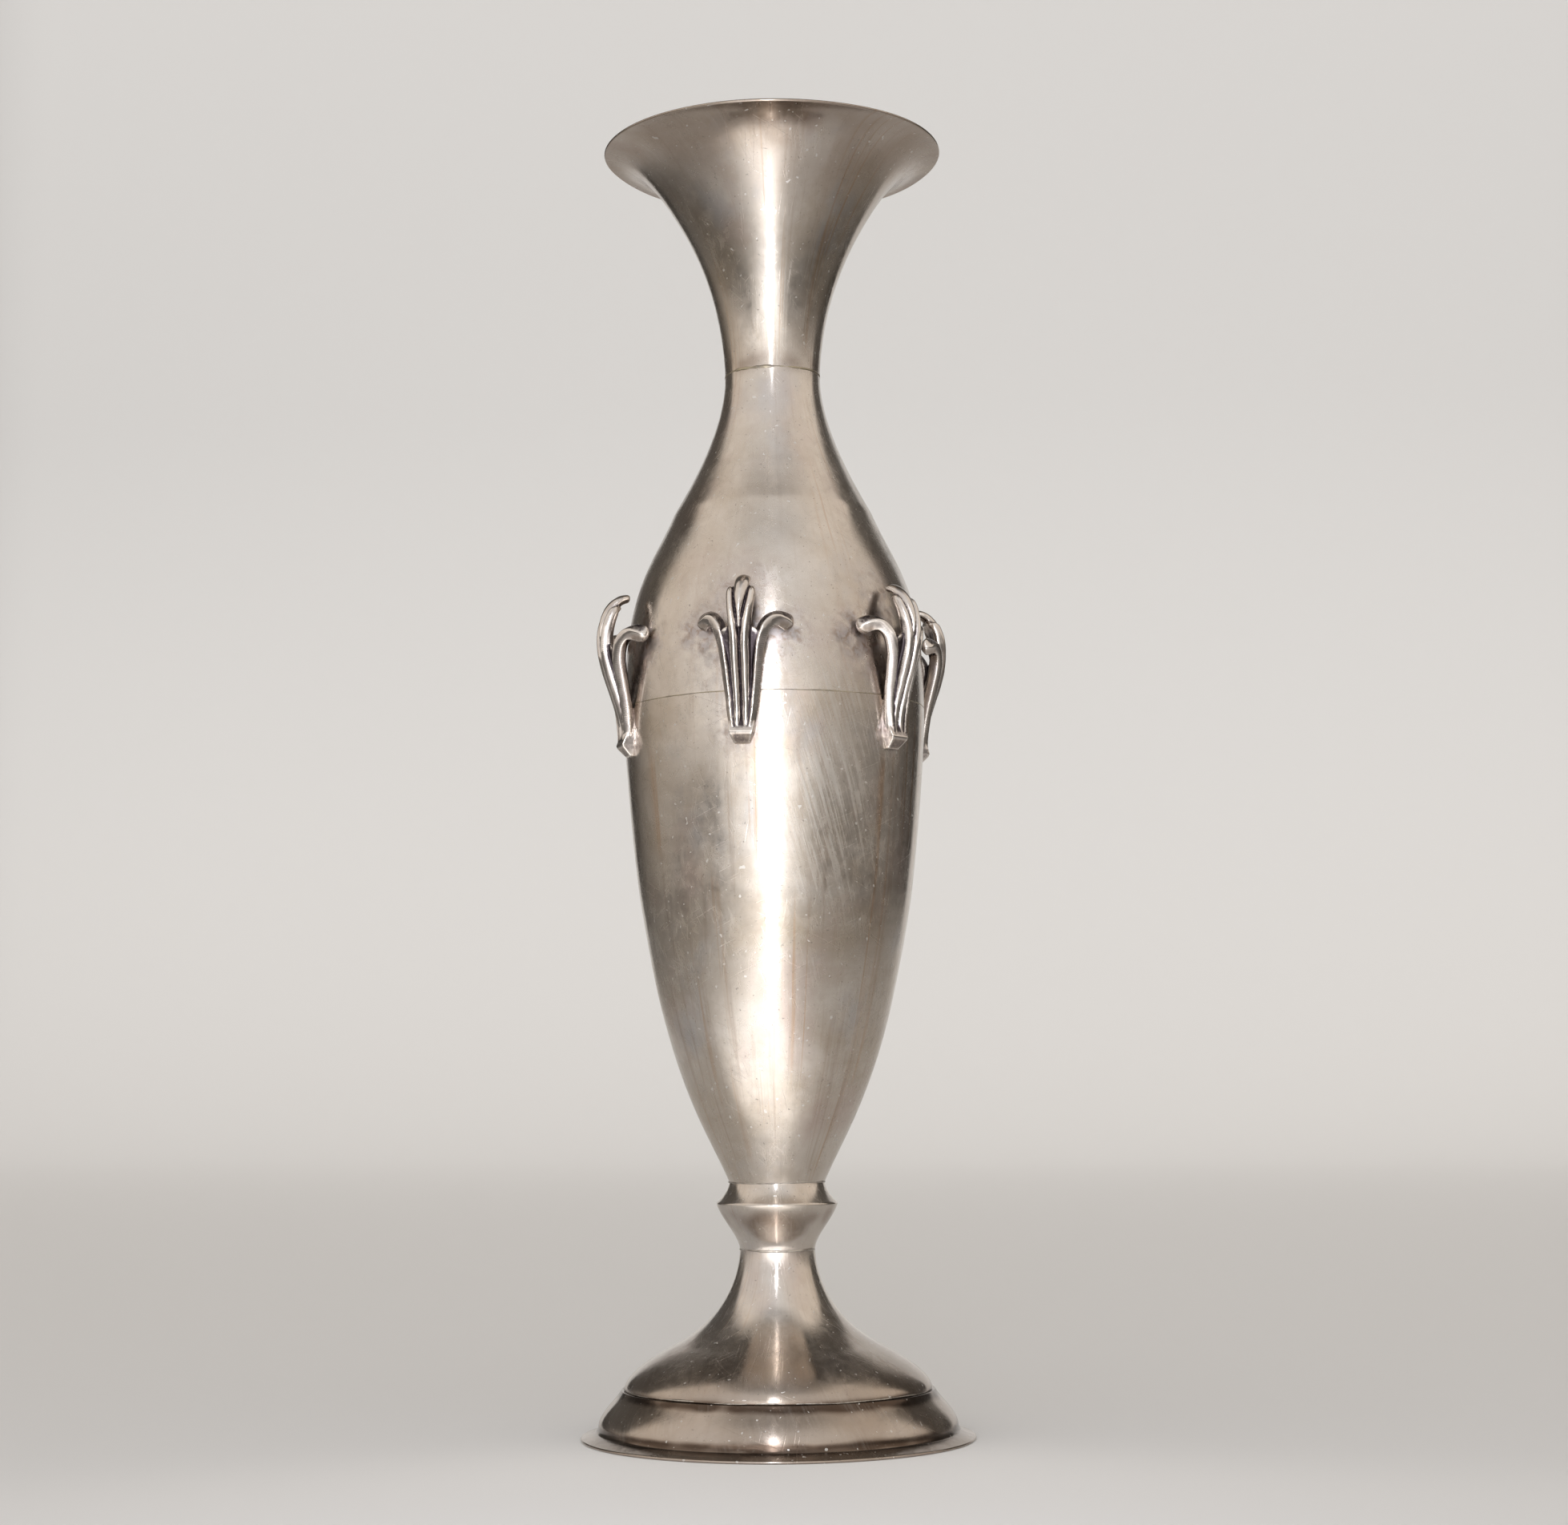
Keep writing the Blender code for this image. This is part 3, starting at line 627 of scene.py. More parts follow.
def make_shell(name, profile, closed=True):
    """One turned piece, with its stains, its painted shade and its map stored on it."""
    parts = outward(*skin(turned(profile), closed_line=closed))
    obj = mesh_object(name, *parts)
    obj.data.set_sharp_from_angle(angle=CRISP_ANGLE)
    points = mesh_points(obj.data)
    for title, stain in (("stain", solder_stain_and_shade), ("rub", rubbed), ("tarnish_and_shade", tarnish_and_shade), ("rusty", rusty)):
        write_attribute(obj, title, stain(points))
    wrap_map(obj)
    print(f"{name}: {len(parts[1]) * 2 + len(parts[2])} triangles, {volume(*parts) * 1e6:.2f} cm3")
    return obj


SHELLS = {
    "fine_mouth": make_shell("fine_mouth", mouth_profile()),
    "fine_shoulder": make_shell("fine_shoulder", shoulder_profile()),
    "fine_belly": make_shell("fine_belly", belly_profile(), closed=False),
    "fine_knop": make_shell("fine_knop", knop_profile()),
    "fine_foot": make_shell("fine_foot", foot_profile()),
    "fine_ring": make_shell("fine_ring", ring_profile()),
}

# %% [markdown]
# ## Solder in the joints
#
# Where two shells meet, solder has run into the gap and set as a low, uneven bead. Each bead is a
# small ring whose section is an ellipse. Its height and its level wander a little round the vase. A
# torus would be as round as a washer, and bump in a material would leave the joint's edge straight.

# %% Solder beads
BEAD_SIZES = [("neck", NECK_RADIUS, NECK_LEVEL, 0.20, 0.31, 0.50, 0.10),
              ("seam", BODY_RADIUS, SEAM_LEVEL, 0.20, 0.26, 0.22, 0.06),
              ("heel", HEEL_RADIUS, HEEL_LEVEL, 0.20, 0.38, 0.30, 0.15),
              ("waist", WAIST_RADIUS, WAIST_LEVEL, 0.20, 0.29, 0.34, 0.12),
              ("brim", FOOT_RADIUS, RING_TOP, 0.35, 0.42, 0.28, 0.15)]


def solder_bead(name, radius, level, half_depth, half_height, rough, seed):
    """Ring with an elliptic section: radius + a cos p outwards and level + b sin p upwards, where a
    and b are the half sizes times a slow random field of the azimuth."""
    azimuth = np.linspace(0, 2 * np.pi, TURNS * 2, endpoint=False)[:, None]
    round_ = np.linspace(0, 2 * np.pi, 14, endpoint=False)[None, :]
    place = np.stack([np.sin(azimuth), -np.cos(azimuth), 0 * azimuth], axis=-1) * radius
    uneven = 1 + rough * grain(place, 9 * MM, seed) + 0.5 * rough * grain(place, 2.5 * MM, seed + 1)
    wander = 0.08 * MM * grain(place, 14 * MM, seed + 2)
    out = radius + swell(place + [0, 0, level]) + half_depth * uneven * np.cos(round_)
    high = level + wander + half_height * uneven * np.sin(round_)
    grid = np.stack([out * np.sin(azimuth), -out * np.cos(azimuth), high], axis=-1)
    return mesh_object(name, *outward(*skin(grid, closed_line=True)))


BEADS = {}
for number, (joint, radius, level, sunk, depth, height, rough) in enumerate(BEAD_SIZES):
    name = f"solder_{joint}"
    seed = 21 + 10 * number
    BEADS[name] = solder_bead(name, radius - sunk * MM, level, depth * MM, height * MM, rough, seed)
print("solder beads:", ", ".join(BEADS))

# %% [markdown]
# ## Cast leaf brackets
#
# Each bracket is one casting: a pad soldered on the belly, a stem with four ridges, a blade with a
# drop-shaped middle lobe between two side lobes, and two scrolls that swing out from the outer ridges
# and lean back on to the shoulder. It could be sculpted, but every one of these forms is a bar carried
# along a path, so it is built from bars. They are joined and softened afterwards, which gives the
# rounded grooves of a casting.

# %% Bars
def bar(middle, forward, half_depth, half_width, square=2.6, around=20):
    """Grid of a bar. At each point of the middle line the section is a superellipse, which is
    half_depth along the forward direction and half_width across it; square says how boxy it is."""
    along = np.gradient(middle, axis=0)
    along /= np.linalg.norm(along, axis=1)[:, None]
    forward = forward - along * np.einsum("ij,ij->i", forward, along)[:, None]
    forward /= np.linalg.norm(forward, axis=1)[:, None]
    across = np.cross(along, forward)
    turn = np.linspace(0, 2 * np.pi, around, endpoint=False)[:, None]
    deep = np.sign(np.cos(turn)) * np.abs(np.cos(turn)) ** (2 / square) * half_depth
    wide = np.sign(np.sin(turn)) * np.abs(np.sin(turn)) ** (2 / square) * half_width
    return middle + deep[..., None] * forward + wide[..., None] * across


def closed_bar(middle, forward, depth, width, square=2.6, start=0.04, end=0.04):
    """A bar whose ends round off to a point over a share of its length at the start and the end."""
    share = gone_along(middle) / gone_along(middle)[-1]
    rise = np.sqrt(np.clip(1 - np.clip(1 - share / start, 0, 1) ** 2, 0, 1))
    fall = np.sqrt(np.clip(1 - np.clip(1 - (1 - share) / end, 0, 1) ** 2, 0, 1))
    full = rise * fall
    return skin(bar(middle, forward, depth / 2 * full, width / 2 * full, square))


def stations(low, high, count):
    """Shares from low to high, closer together towards both ends."""
    return low + (high - low) * (1 - np.cos(np.linspace(0, np.pi, count))) / 2


# %% [markdown]
# The leaf follows a spine in the plane of the axis: it stands off the belly, leans out to a crest at
# the height of the scrolls, and hooks back towards the shoulder. Every bar of the stem and the blade
# lies at a share of this spine, a little behind it.

# %% Leaf spine
PAD_REACH = 2.9 * MM
LEAF_REACH = 9.3 * MM
LEAF_TIP_REACH = 0.8 * MM
PAD_EDGE_LEVEL = SEAM_LEVEL - 11.6 * MM
PAD_TOE_LEVEL = SEAM_LEVEL - 14.0 * MM
LEAF_CREST_LEVEL = SEAM_LEVEL + 18.5 * MM
LEAF_TIP_LEVEL = SEAM_LEVEL + 29.9 * MM


def spine_line():
    """Front of the leaf as reach and level: one cubic from the pad up to the crest, and one over it."""
    foot = (BODY_RADIUS + PAD_REACH, PAD_EDGE_LEVEL)
    crest = (BODY_RADIUS + LEAF_REACH, LEAF_CREST_LEVEL)
    tip = (BODY_RADIUS + LEAF_TIP_REACH, LEAF_TIP_LEVEL)
    rise = in_box([(0.0, 0.0), (-0.22, 0.34), (1.0, 0.68), (1.0, 1.0)], foot, crest)
    low, high = (tip[0], crest[1]), (crest[0], tip[1])
    hook = in_box([(1.0, 0.0), (1.0, 0.54), (0.62, 1.03), (0.0, 1.0)], low, high)
    return chain(cubic(rise), cubic(hook))


SPINE = spine_line()


def on_spine(share, side, drop):
    """Middle line and forward direction of a bar: at each share of the spine, moved sideways by side
    and back from the spine by drop."""
    gone = gone_along(SPINE)
    slope = np.gradient(SPINE, gone, axis=0)
    at = share * gone[-1]
    point = np.stack([np.interp(at, gone, SPINE[:, k]) for k in (0, 1)], axis=1)
    along = np.stack([np.interp(at, gone, slope[:, k]) for k in (0, 1)], axis=1)
    along /= np.linalg.norm(along, axis=1)[:, None]
    out = np.stack([along[:, 1], -along[:, 0]], axis=1)
    point = point - out * drop[:, None]
    middle = np.stack([side, point[:, 0], point[:, 1]], axis=1)
    return middle, np.stack([0 * side, out[:, 0], out[:, 1]], axis=1)


print(f"leaf spine: {gone_along(SPINE)[-1] / MM:.1f} mm long")

# %% [markdown]
# Two ridges run up the middle of the stem, part where the middle lobe begins and end as side lobes.
# Their tops are peaked and not round, which keeps the dark grooves between them wide. Behind them lie
# two thin plates, the beds of the grooves. Widths and depths are given at a few shares of the spine.

# %% Ridges, lobes and webs of the leaf
def inner_ridge(hand):
    """One of the two middle ridges. It starts beside its twin, parts from it where the middle lobe
    begins, and ends as the rounded tip of a side lobe."""
    share = stations(0.02, 0.865, 90)
    side = flowing(share, [0, 0.25, 0.42, 0.54, 0.63, 0.72, 0.80, 0.88],
                   np.array([1.15, 1.25, 1.35, 1.45, 1.85, 2.45, 2.85, 2.85]) * MM)
    width = flowing(share, [0, 0.25, 0.42, 0.54, 0.66, 0.76, 0.88],
                    np.array([2.3, 2.35, 2.5, 2.6, 2.3, 2.1, 1.9]) * MM)
    depth = flowing(share, [0, 0.5, 0.7, 0.88], np.array([3.2, 3.8, 3.4, 2.6]) * MM)
    drop = flowing(share, [0, 0.5, 0.65, 0.88], np.array([0.1, 0.0, 0.4, 0.7]) * MM)
    middle, forward = on_spine(share, hand * side, drop + depth / 2)
    return closed_bar(middle, forward, depth, width, square=1.9, start=0.02, end=0.06)


def middle_lobe():
    """Drop-shaped lobe that begins as a point between the ridges and ends blunt, free of the wall."""
    share = stations(0.58, 1.0, 70)
    width = flowing(share, [0.58, 0.67, 0.75, 0.84, 0.91, 0.97, 1.0],
                    np.array([0.7, 1.6, 2.7, 3.7, 4.1, 3.8, 3.3]) * MM)
    depth = flowing(share, [0.58, 0.7, 0.85, 1.0], np.array([1.8, 3.2, 3.1, 2.2]) * MM)
    drop = flowing(share, [0.58, 0.67, 0.75, 1.0], np.array([1.1, 0.4, 0.0, 0.0]) * MM)
    middle, forward = on_spine(share, 0 * share, drop + depth / 2)
    return closed_bar(middle, forward, depth, width, square=1.9, start=0.05, end=0.035)


def web(low, high, widths, drop, depth):
    """Thin plate behind the ridges, which makes the bottom of the grooves."""
    share = stations(low, high, 60)
    width = flowing(share, np.linspace(low, high, len(widths)), np.array(widths) * MM)
    middle, forward = on_spine(share, 0 * share, np.full(60, drop + depth / 2))
    return closed_bar(middle, forward, np.full(60, depth), width, square=5, start=0.03, end=0.06)


for title, part in (("ridge", inner_ridge(1)), ("middle lobe", middle_lobe())):
    print(f"{title}: {volume(*outward(*part)) * 1e9:.0f} mm3")

# %% [markdown]
# The outer ridges leave the stem and become the scrolls. A scroll is a bar with a keen front edge, which
# climbs beside the stem, swings outwards over a crest and comes down on the shoulder. Its edge stays in
# front as a bright line, its upper face is dark, and its broad underside looks towards whoever looks up.

# %% Scrolls
SCROLL_MIDDLE = [(2.15, 42.0, 183.6), (2.75, 42.0, 187.5), (3.40, 42.8, 194.0), (4.05, 44.2, 200.5),
                 (4.70, 45.2, 205.4), (5.75, 45.2, 209.2), (7.20, 44.2, 211.5), (8.90, 42.8, 212.3),
                 (10.60, 41.1, 211.9), (12.10, 39.2, 210.9)]
SCROLL_LEAN = [0, 0, 0, 0, 3, 8, 11, 13, 14, 14]
SCROLL_DEPTH = [3.4, 3.4, 3.4, 3.6, 3.8, 4.0, 4.0, 3.9, 3.7, 3.4]
SCROLL_THICK = [2.2, 2.5, 2.8, 3.1, 3.4, 3.7, 4.1, 4.5, 4.8, 4.6]


def scroll(hand):
    """Bar along a middle line, whose forward side leans up by an angle that grows along the line."""
    knots = np.linspace(0, 1, len(SCROLL_MIDDLE))
    share = stations(0.0, 1.0, 120)
    middle = flowing(share, knots, np.array(SCROLL_MIDDLE) * MM) * [hand, 1, 1]
    lean = np.radians(flowing(share, knots, SCROLL_LEAN))
    forward = np.stack([0 * lean, np.cos(lean), np.sin(lean)], axis=1)
    depth = flowing(share, knots, np.array(SCROLL_DEPTH) * MM)
    thick = flowing(share, knots, np.array(SCROLL_THICK) * MM)
    return closed_bar(middle, forward, depth, thick, square=1.3, start=0.02, end=0.05)


print(f"scroll: {volume(*outward(*scroll(1))) * 1e9:.0f} mm3")

# %% [markdown]
# The pad is a small block with a sloping facet at its toe. The ridges grow out of its upper part. Its
# back lies in the wall of the belly, so no gap shows between the two.

# %% Pad
PAD_SUNK = 0.7 * MM
PAD_END_LEVEL = SEAM_LEVEL - 1.2 * MM


def pad():
    """Foot pad: box sections from the toe, up the sloping end facet, to where the ridges cover it."""
    wall = BODY_RADIUS - PAD_SUNK
    level = np.array([PAD_TOE_LEVEL, PAD_TOE_LEVEL, PAD_EDGE_LEVEL, PAD_EDGE_LEVEL + 0.7 * MM,
                      PAD_EDGE_LEVEL + 2.2 * MM, PAD_EDGE_LEVEL + 4.6 * MM, PAD_END_LEVEL, PAD_END_LEVEL])
    front = BODY_RADIUS + np.array([0.45, 0.45, 2.75, 3.0, 2.45, 1.3, 0.6, 0.6]) * MM
    width = np.array([0.0, 4.3, 6.0, 6.5, 6.9, 7.2, 6.4, 0.0]) * MM
    middle = np.stack([0 * level, (front + wall) / 2, level], axis=1)
    corners = np.array([(1, 1), (-1, 1), (-1, -1), (1, -1)])
    deep = corners[:, :1] * (front - wall) / 2 * (width > 0)
    wide = corners[:, 1:] * width / 2
    grid = middle + np.stack([wide, deep, 0 * deep], axis=-1)
    return skin(grid)


print(f"pad: {volume(*outward(*pad())) * 1e9:.0f} mm3")

# %% [markdown]
# ## From bars to a casting
#
# The bars overlap. A Boolean union would join them with knife-sharp valleys. A voxel Remesh makes one
# closed skin round all of them instead, and a few rounds of smoothing melt the grooves together, as
# sand and fettling do.

# %% One casting
VOXEL = 0.2 * MM


def casting():
    """Points, edges and quads of one bracket: all its bars, remeshed and smoothed."""
    bars = [inner_ridge(-1), inner_ridge(1), middle_lobe(), scroll(-1), scroll(1),
            pad(),
            web(0.03, 0.60, [5.6, 6.8, 7.8, 9.4, 9.8], 2.2 * MM, 1.3 * MM),
            web(0.40, 0.90, [4.6, 5.4, 6.4, 7.0, 5.6], 1.9 * MM, 1.5 * MM)]
    parts = joined(*[outward(*part) for part in bars])
    obj = mesh_object("casting", placed(parts[0], 0.0), *parts[1:])
    remesh = obj.modifiers.new("one_skin", "REMESH")
    remesh.mode = "VOXEL"
    remesh.voxel_size = VOXEL
    remesh.adaptivity = 0.0
    melt = obj.modifiers.new("melt", "SMOOTH")
    melt.factor = 0.5
    melt.iterations = 6
    evaluated = obj.evaluated_get(bpy.context.evaluated_depsgraph_get())
    mesh = bpy.data.meshes.new_from_object(evaluated)
    bpy.data.objects.remove(obj)
    points = mesh_points(mesh)
    edges = np.empty(len(mesh.edges) * 2, np.int32)
    mesh.edges.foreach_get("vertices", edges)
    quads = np.array([tuple(face.vertices) for face in mesh.polygons])
    bpy.data.meshes.remove(mesh)
    return points, edges.reshape(-1, 2), quads


CAST_POINTS, CAST_EDGES, CAST_QUADS = casting()
print(f"casting: {len(CAST_POINTS)} vertices, {len(CAST_QUADS) * 2} triangles")

# %% [markdown]
# ## Hollows and ridges
#
# A new casting is blackened all over and then polished, so black stays wherever it is hollow. It could
# be painted on by hand, groove by groove, but the mesh itself tells where it is hollow. A point that
# lies below the average of its neighbours is in a groove, and one that stands above it is on a ridge.
# A near and a wide average find the narrow grooves and the broad beds between the ridges.

# %% How hollow each point is
NEAR_ROUNDS = 12
WIDE_ROUNDS = 90


def neighbour_mean(values, edges, rounds):
    """Average each vertex with its neighbours, again and again."""
    count = np.bincount(edges.ravel(), minlength=len(values))[:, None] + 1
    for _ in range(rounds):
        total = values.copy()
        for axis in range(values.shape[1]):
            total[:, axis] += np.bincount(edges[:, 0], values[edges[:, 1], axis], len(values))
            total[:, axis] += np.bincount(edges[:, 1], values[edges[:, 0], axis], len(values))
        values = total / count
    return values


def vertex_normals(points, quads):
    """Outward direction at each vertex: the sum of the normals of its faces."""
    corner = points[quads]
    face = np.cross(corner[:, 2] - corner[:, 0], corner[:, 3] - corner[:, 1])
    total = np.stack([np.bincount(quads.ravel(), np.repeat(face[:, k], 4), len(points)) for k in range(3)],
                     axis=1)
    return total / (np.linalg.norm(total, axis=1)[:, None] + 1e-12)


CAST_NORMALS = vertex_normals(CAST_POINTS, CAST_QUADS)
NEAR_MEAN = neighbour_mean(CAST_POINTS, CAST_EDGES, NEAR_ROUNDS)
WIDE_MEAN = neighbour_mean(NEAR_MEAN, CAST_EDGES, WIDE_ROUNDS)
HOLLOW = np.einsum("ij,ij->i", NEAR_MEAN - CAST_POINTS, CAST_NORMALS)
WIDE_HOLLOW = np.einsum("ij,ij->i", WIDE_MEAN - CAST_POINTS, CAST_NORMALS)
print(f"hollows to {HOLLOW.max() / MM:.2f} mm near and {WIDE_HOLLOW.max() / MM:.2f} mm wide")

# %% [markdown]
# Some places keep black for another reason: the polishing wheel doesn't reach the flat beds behind the
# ridges. The tops of the scrolls and the facet of the pad are black as painted shade. The side faces of
# the stem were only filed.
# These follow from height, distance and direction, so they are worked out the same way for each vertex.

# %% Black, painted shade, worn and filed places
FILED_FROM, FILED_TO = 187 * MM, 213 * MM
BEDS_FROM = 183.6 * MM
FACET_TO = 183.2 * MM


def file_marks(points, normals):
    """1 on the side faces of the stem and the scrolls, between the pad and the crest, and 0 elsewhere."""
    side, level = np.abs(points[:, 0]), points[:, 2]
    sideways = smooth_step((np.abs(normals[:, 0]) - 0.62) / 0.25)
    inside_ends = smooth_step((level - FILED_FROM) / (3 * MM)) * smooth_step((FILED_TO - level) / (4 * MM))
    return sideways * inside_ends * smooth_step((side - 2.2 * MM) / (0.8 * MM))


def groove_beds(points, normals):
    """1 on the plate between the ridges, well behind the leaf's front and inside the outer ridges."""
    side, reach, level = np.abs(points[:, 0]), -points[:, 1], points[:, 2]
    behind = np.interp(level, SPINE[:, 1], SPINE[:, 0]) - reach
    outer = np.array(SCROLL_MIDDLE)[:6] * MM
    limit = np.interp(level, outer[:, 2], outer[:, 0]) - 0.3 * MM
    between = smooth_step((limit - side) / (0.5 * MM))
    above_pad = smooth_step((level - BEDS_FROM) / (1.0 * MM))
    facing = smooth_step(-2 * normals[:, 1] + 1.5 * normals[:, 2])
    return between * above_pad * facing * smooth_step((behind - 1.1 * MM) / (0.7 * MM))


def black_patina_and_shade(points, normals):
    """Black: patina left by the polishing, hollow / 0.12 mm, plus shares for wide beds and groove beds, and
    painted shade on the tops of the scrolls and the facet of the pad."""
    beds = smooth_step((WIDE_HOLLOW + 0.12 * MM) / (0.38 * MM))
    on_scroll = smooth_step((np.abs(points[:, 0]) - 3.6 * MM) / (1.0 * MM))
    # Painted shade: the upper faces of the scrolls and the pad's facet are darkened.
    upper = on_scroll * smooth_step((normals[:, 2] - 0.15) / 0.3)
    facet = smooth_step((FACET_TO - points[:, 2]) / (0.6 * MM))
    return (HOLLOW / (0.12 * MM) + 0.9 * beds + 0.85 * upper + 0.8 * groove_beds(points, normals)
            + 0.40 * facet)


BLACK_PATINA_AND_SHADE = black_patina_and_shade(CAST_POINTS, CAST_NORMALS)
CAST_MARKS = {
    "worn": np.clip(-HOLLOW / (0.08 * MM) - 0.15, 0.0, 1.0),
    # below: painted shade, browner on faces that look down.
    "below": smooth_step((-CAST_NORMALS[:, 2] - 0.30) / 0.3),
    "filed": file_marks(CAST_POINTS, CAST_NORMALS),
}
print("marked:", ", ".join(f"{title} {np.mean(marks > 0.5):.0%}" for title, marks in CAST_MARKS.items()))

# %% [markdown]
# ## Six brackets
#
# The six castings come from one mould, but each was cleaned up and soldered on by hand. A faint random
# field gives each skin its own soft waves. Each also leans a little, is turned a little, and has the
# tip of its leaf pressed back. Six linked copies would save memory, and would look stamped.

# %% Six brackets
CAST_WAVES = 0.020 * MM
TIP_FROM, TIP_FADE = 206 * MM, 20 * MM
LEAN_LEVEL = SEAM_LEVEL - 8 * MM
SET_BY_HAND = [(0.5, 1.5, 0.0), (0.9, -0.4, 1.6), (-0.6, 0.8, 0.5), (0.4, -1.0, 0.9), (-0.3, 0.5, -0.3),
               (0.6, 0.3, 0.8)]


def set_by_hand(points, lean, hook):
    """The casting as somebody bent and soldered it: it leans sideways round its pad by some degrees, and
    the tip of its leaf is pressed back by some tenths of a millimetre."""
    side, high = points[:, 0], points[:, 2] - LEAN_LEVEL
    on_leaf = smooth_step((points[:, 2] - TIP_FROM) / TIP_FADE) * smooth_step(1.6 - np.abs(side) / (5 * MM))
    angle = np.radians(lean)
    return np.stack([side * np.cos(angle) + high * np.sin(angle), points[:, 1] + hook * MM * on_leaf,
                     points[:, 2] - side * np.sin(angle)], axis=1)


def make_bracket(number):
    """One of the six brackets, turned to its azimuth, with its black, painted shade and marks stored on it.
    """
    turn, lean, hook = SET_BY_HAND[number]
    seed = 70 + 5 * number
    waves = grain(CAST_POINTS, 5 * MM, seed + 1) + 0.35 * grain(CAST_POINTS, 2.2 * MM, seed + 2)
    local = set_by_hand(CAST_POINTS + CAST_NORMALS * (CAST_WAVES * waves)[:, None], lean, hook)
    stands = placed(local * [1, -1, 1], bracket_angle(number) + np.radians(turn))
    obj = mesh_object(f"fine_bracket_{number + 1}", stands, CAST_QUADS, np.zeros((0, 3), int))
    patina_and_shade = BLACK_PATINA_AND_SHADE + 0.12 * grain(CAST_POINTS, 2.2 * MM, seed + 3)
    write_attribute(obj, "patina_and_shade", np.clip(patina_and_shade, 0.0, 1.0))
    for title, marks in CAST_MARKS.items():
        write_attribute(obj, title, marks)
    return obj


BRACKETS = [make_bracket(number) for number in range(BRACKET_COUNT)]
print("brackets:", ", ".join(obj.name for obj in BRACKETS))

# %% [markdown]
# ## Silver, tarnish and scratches
#
# A finish is a small tree of nodes. It could be built by hand in the shader editor. In a script, one
# helper adds a node and joins its inputs, and the others name the jobs that come back: a noise, a
# window that cuts a range out of a value, a mix of two colours, and sums and products of values.

# %% Node helpers
def add(tree, kind, inputs=(), **settings):
    """Add a node. settings are its own properties; inputs maps a socket to a value or to an output."""
    node = tree.nodes.new("ShaderNode" + kind)
    for key, value in settings.items():
        setattr(node, key, value)
    for key, value in dict(inputs).items():
        if isinstance(value, bpy.types.NodeSocket):
            tree.links.new(value, node.inputs[key])
        else:
            node.inputs[key].default_value = value
    return node


def noise(tree, vector, scale, detail=3.0, rough=0.55, warp=0.0):
    """Noise value, about 0.3 to 0.7, at points that are scale to the metre."""
    return add(tree, "TexNoise", {"Vector": vector, "Scale": scale, "Detail": detail,
                                  "Roughness": rough, "Distortion": warp}).outputs["Fac"]


def window(tree, value, low, high, top=1.0):
    """0 below low, top above high, and an even slope between."""
    return add(tree, "MapRange", {"Value": value, "From Min": low, "From Max": high,
                                  "To Min": 0.0, "To Max": top}).outputs["Result"]


def eased(tree, value, low, high, first=0.0, last=1.0):
    """From first at low to last at high, easing in and out."""
    return add(tree, "MapRange", {"Value": value, "From Min": float(low), "From Max": float(high),
                                  "To Min": float(first), "To Max": float(last)},
               interpolation_type="SMOOTHSTEP").outputs["Result"]


def mixed(tree, share, first, second):
    """Colour between two colours."""
    node = add(tree, "Mix", data_type="RGBA")
    for socket, value in ((node.inputs["Factor"], share), (node.inputs[6], first), (node.inputs[7], second)):
        if isinstance(value, bpy.types.NodeSocket):
            tree.links.new(value, socket)
        else:
            socket.default_value = (*value, 1.0) if isinstance(value, tuple) else value
    return node.outputs[2]


def calc(tree, operation, *values):
    """One step of arithmetic on one or two values."""
    return add(tree, "Math", dict(enumerate(values)), operation=operation).outputs[0]


def sum_of(tree, *values):
    """Sum of several values."""
    total = values[0]
    for value in values[1:]:
        total = calc(tree, "ADD", total, value)
    return total


def times(tree, first, second):
    """Product of two values."""
    return calc(tree, "MULTIPLY", first, second)


def stretched(tree, vector, scale, turn=(0.0, 0.0, 0.0), shift=(0.0, 0.0, 0.0)):
    """The same places, shifted, turned and then scaled by unlike amounts."""
    turned_places = add(tree, "Mapping", {"Vector": vector, "Rotation": turn, "Location": shift}).outputs[0]
    return add(tree, "Mapping", {"Vector": turned_places, "Scale": scale}).outputs[0]


def stored(tree, name):
    """A value that the piece carries at each vertex."""
    return add(tree, "Attribute", attribute_name=name).outputs["Fac"]


def new_finish(name, metallic=1.0):
    """An empty finish: its material, its tree, its shader and the places on the piece in metres."""
    material = bpy.data.materials.new(name)
    material.use_nodes = True
    tree = material.node_tree
    shader = tree.nodes["Principled BSDF"]
    shader.inputs["Metallic"].default_value = metallic
    return material, tree, shader, add(tree, "TexCoord").outputs["Object"]


def relief(tree, shader, height, depth):
    """Bump, where depth is how high a height of 1 stands."""
    bump = add(tree, "Bump", {"Height": height, "Strength": 1.0, "Distance": depth})
    tree.links.new(bump.outputs[0], shader.inputs["Normal"])


# %% [markdown]
# Silver plate is never one colour. The clean metal is a warm pale grey. Over it lie clouds of yellow,
# pink and blue tarnish and upright streaks where polish has run. Thin rust-coloured runs come next,
# then brown that is partly tarnish and partly painted shade, painted shade nearly black in the
# crevices, and dark specks. Each is a noise cut to a window, mixed over the ones before, because that is
# the order in which they came.

# %% Colours of the plate
CLEAN = (0.600, 0.549, 0.500)
YELLOWED = (0.440, 0.375, 0.306)
BROWN = (0.300, 0.215, 0.160)
PINK = (0.460, 0.365, 0.325)
BLUE = (0.410, 0.415, 0.440)
RUST = (0.440, 0.285, 0.175)
BROWN_TARNISH_AND_SHADE = (0.245, 0.185, 0.145)
CREVICE_SHADE = (0.080, 0.056, 0.042)
SMOKE = (0.200, 0.175, 0.155)


def patches(tree, place, rates, shift, detail, low, high, top):
    """Soft patches: a noise at unlike rates to the metre along x, y and z, cut to a window."""
    places = stretched(tree, place, rates, shift=shift)
    return window(tree, noise(tree, places, 1.0, detail, 0.6), low, high, top)


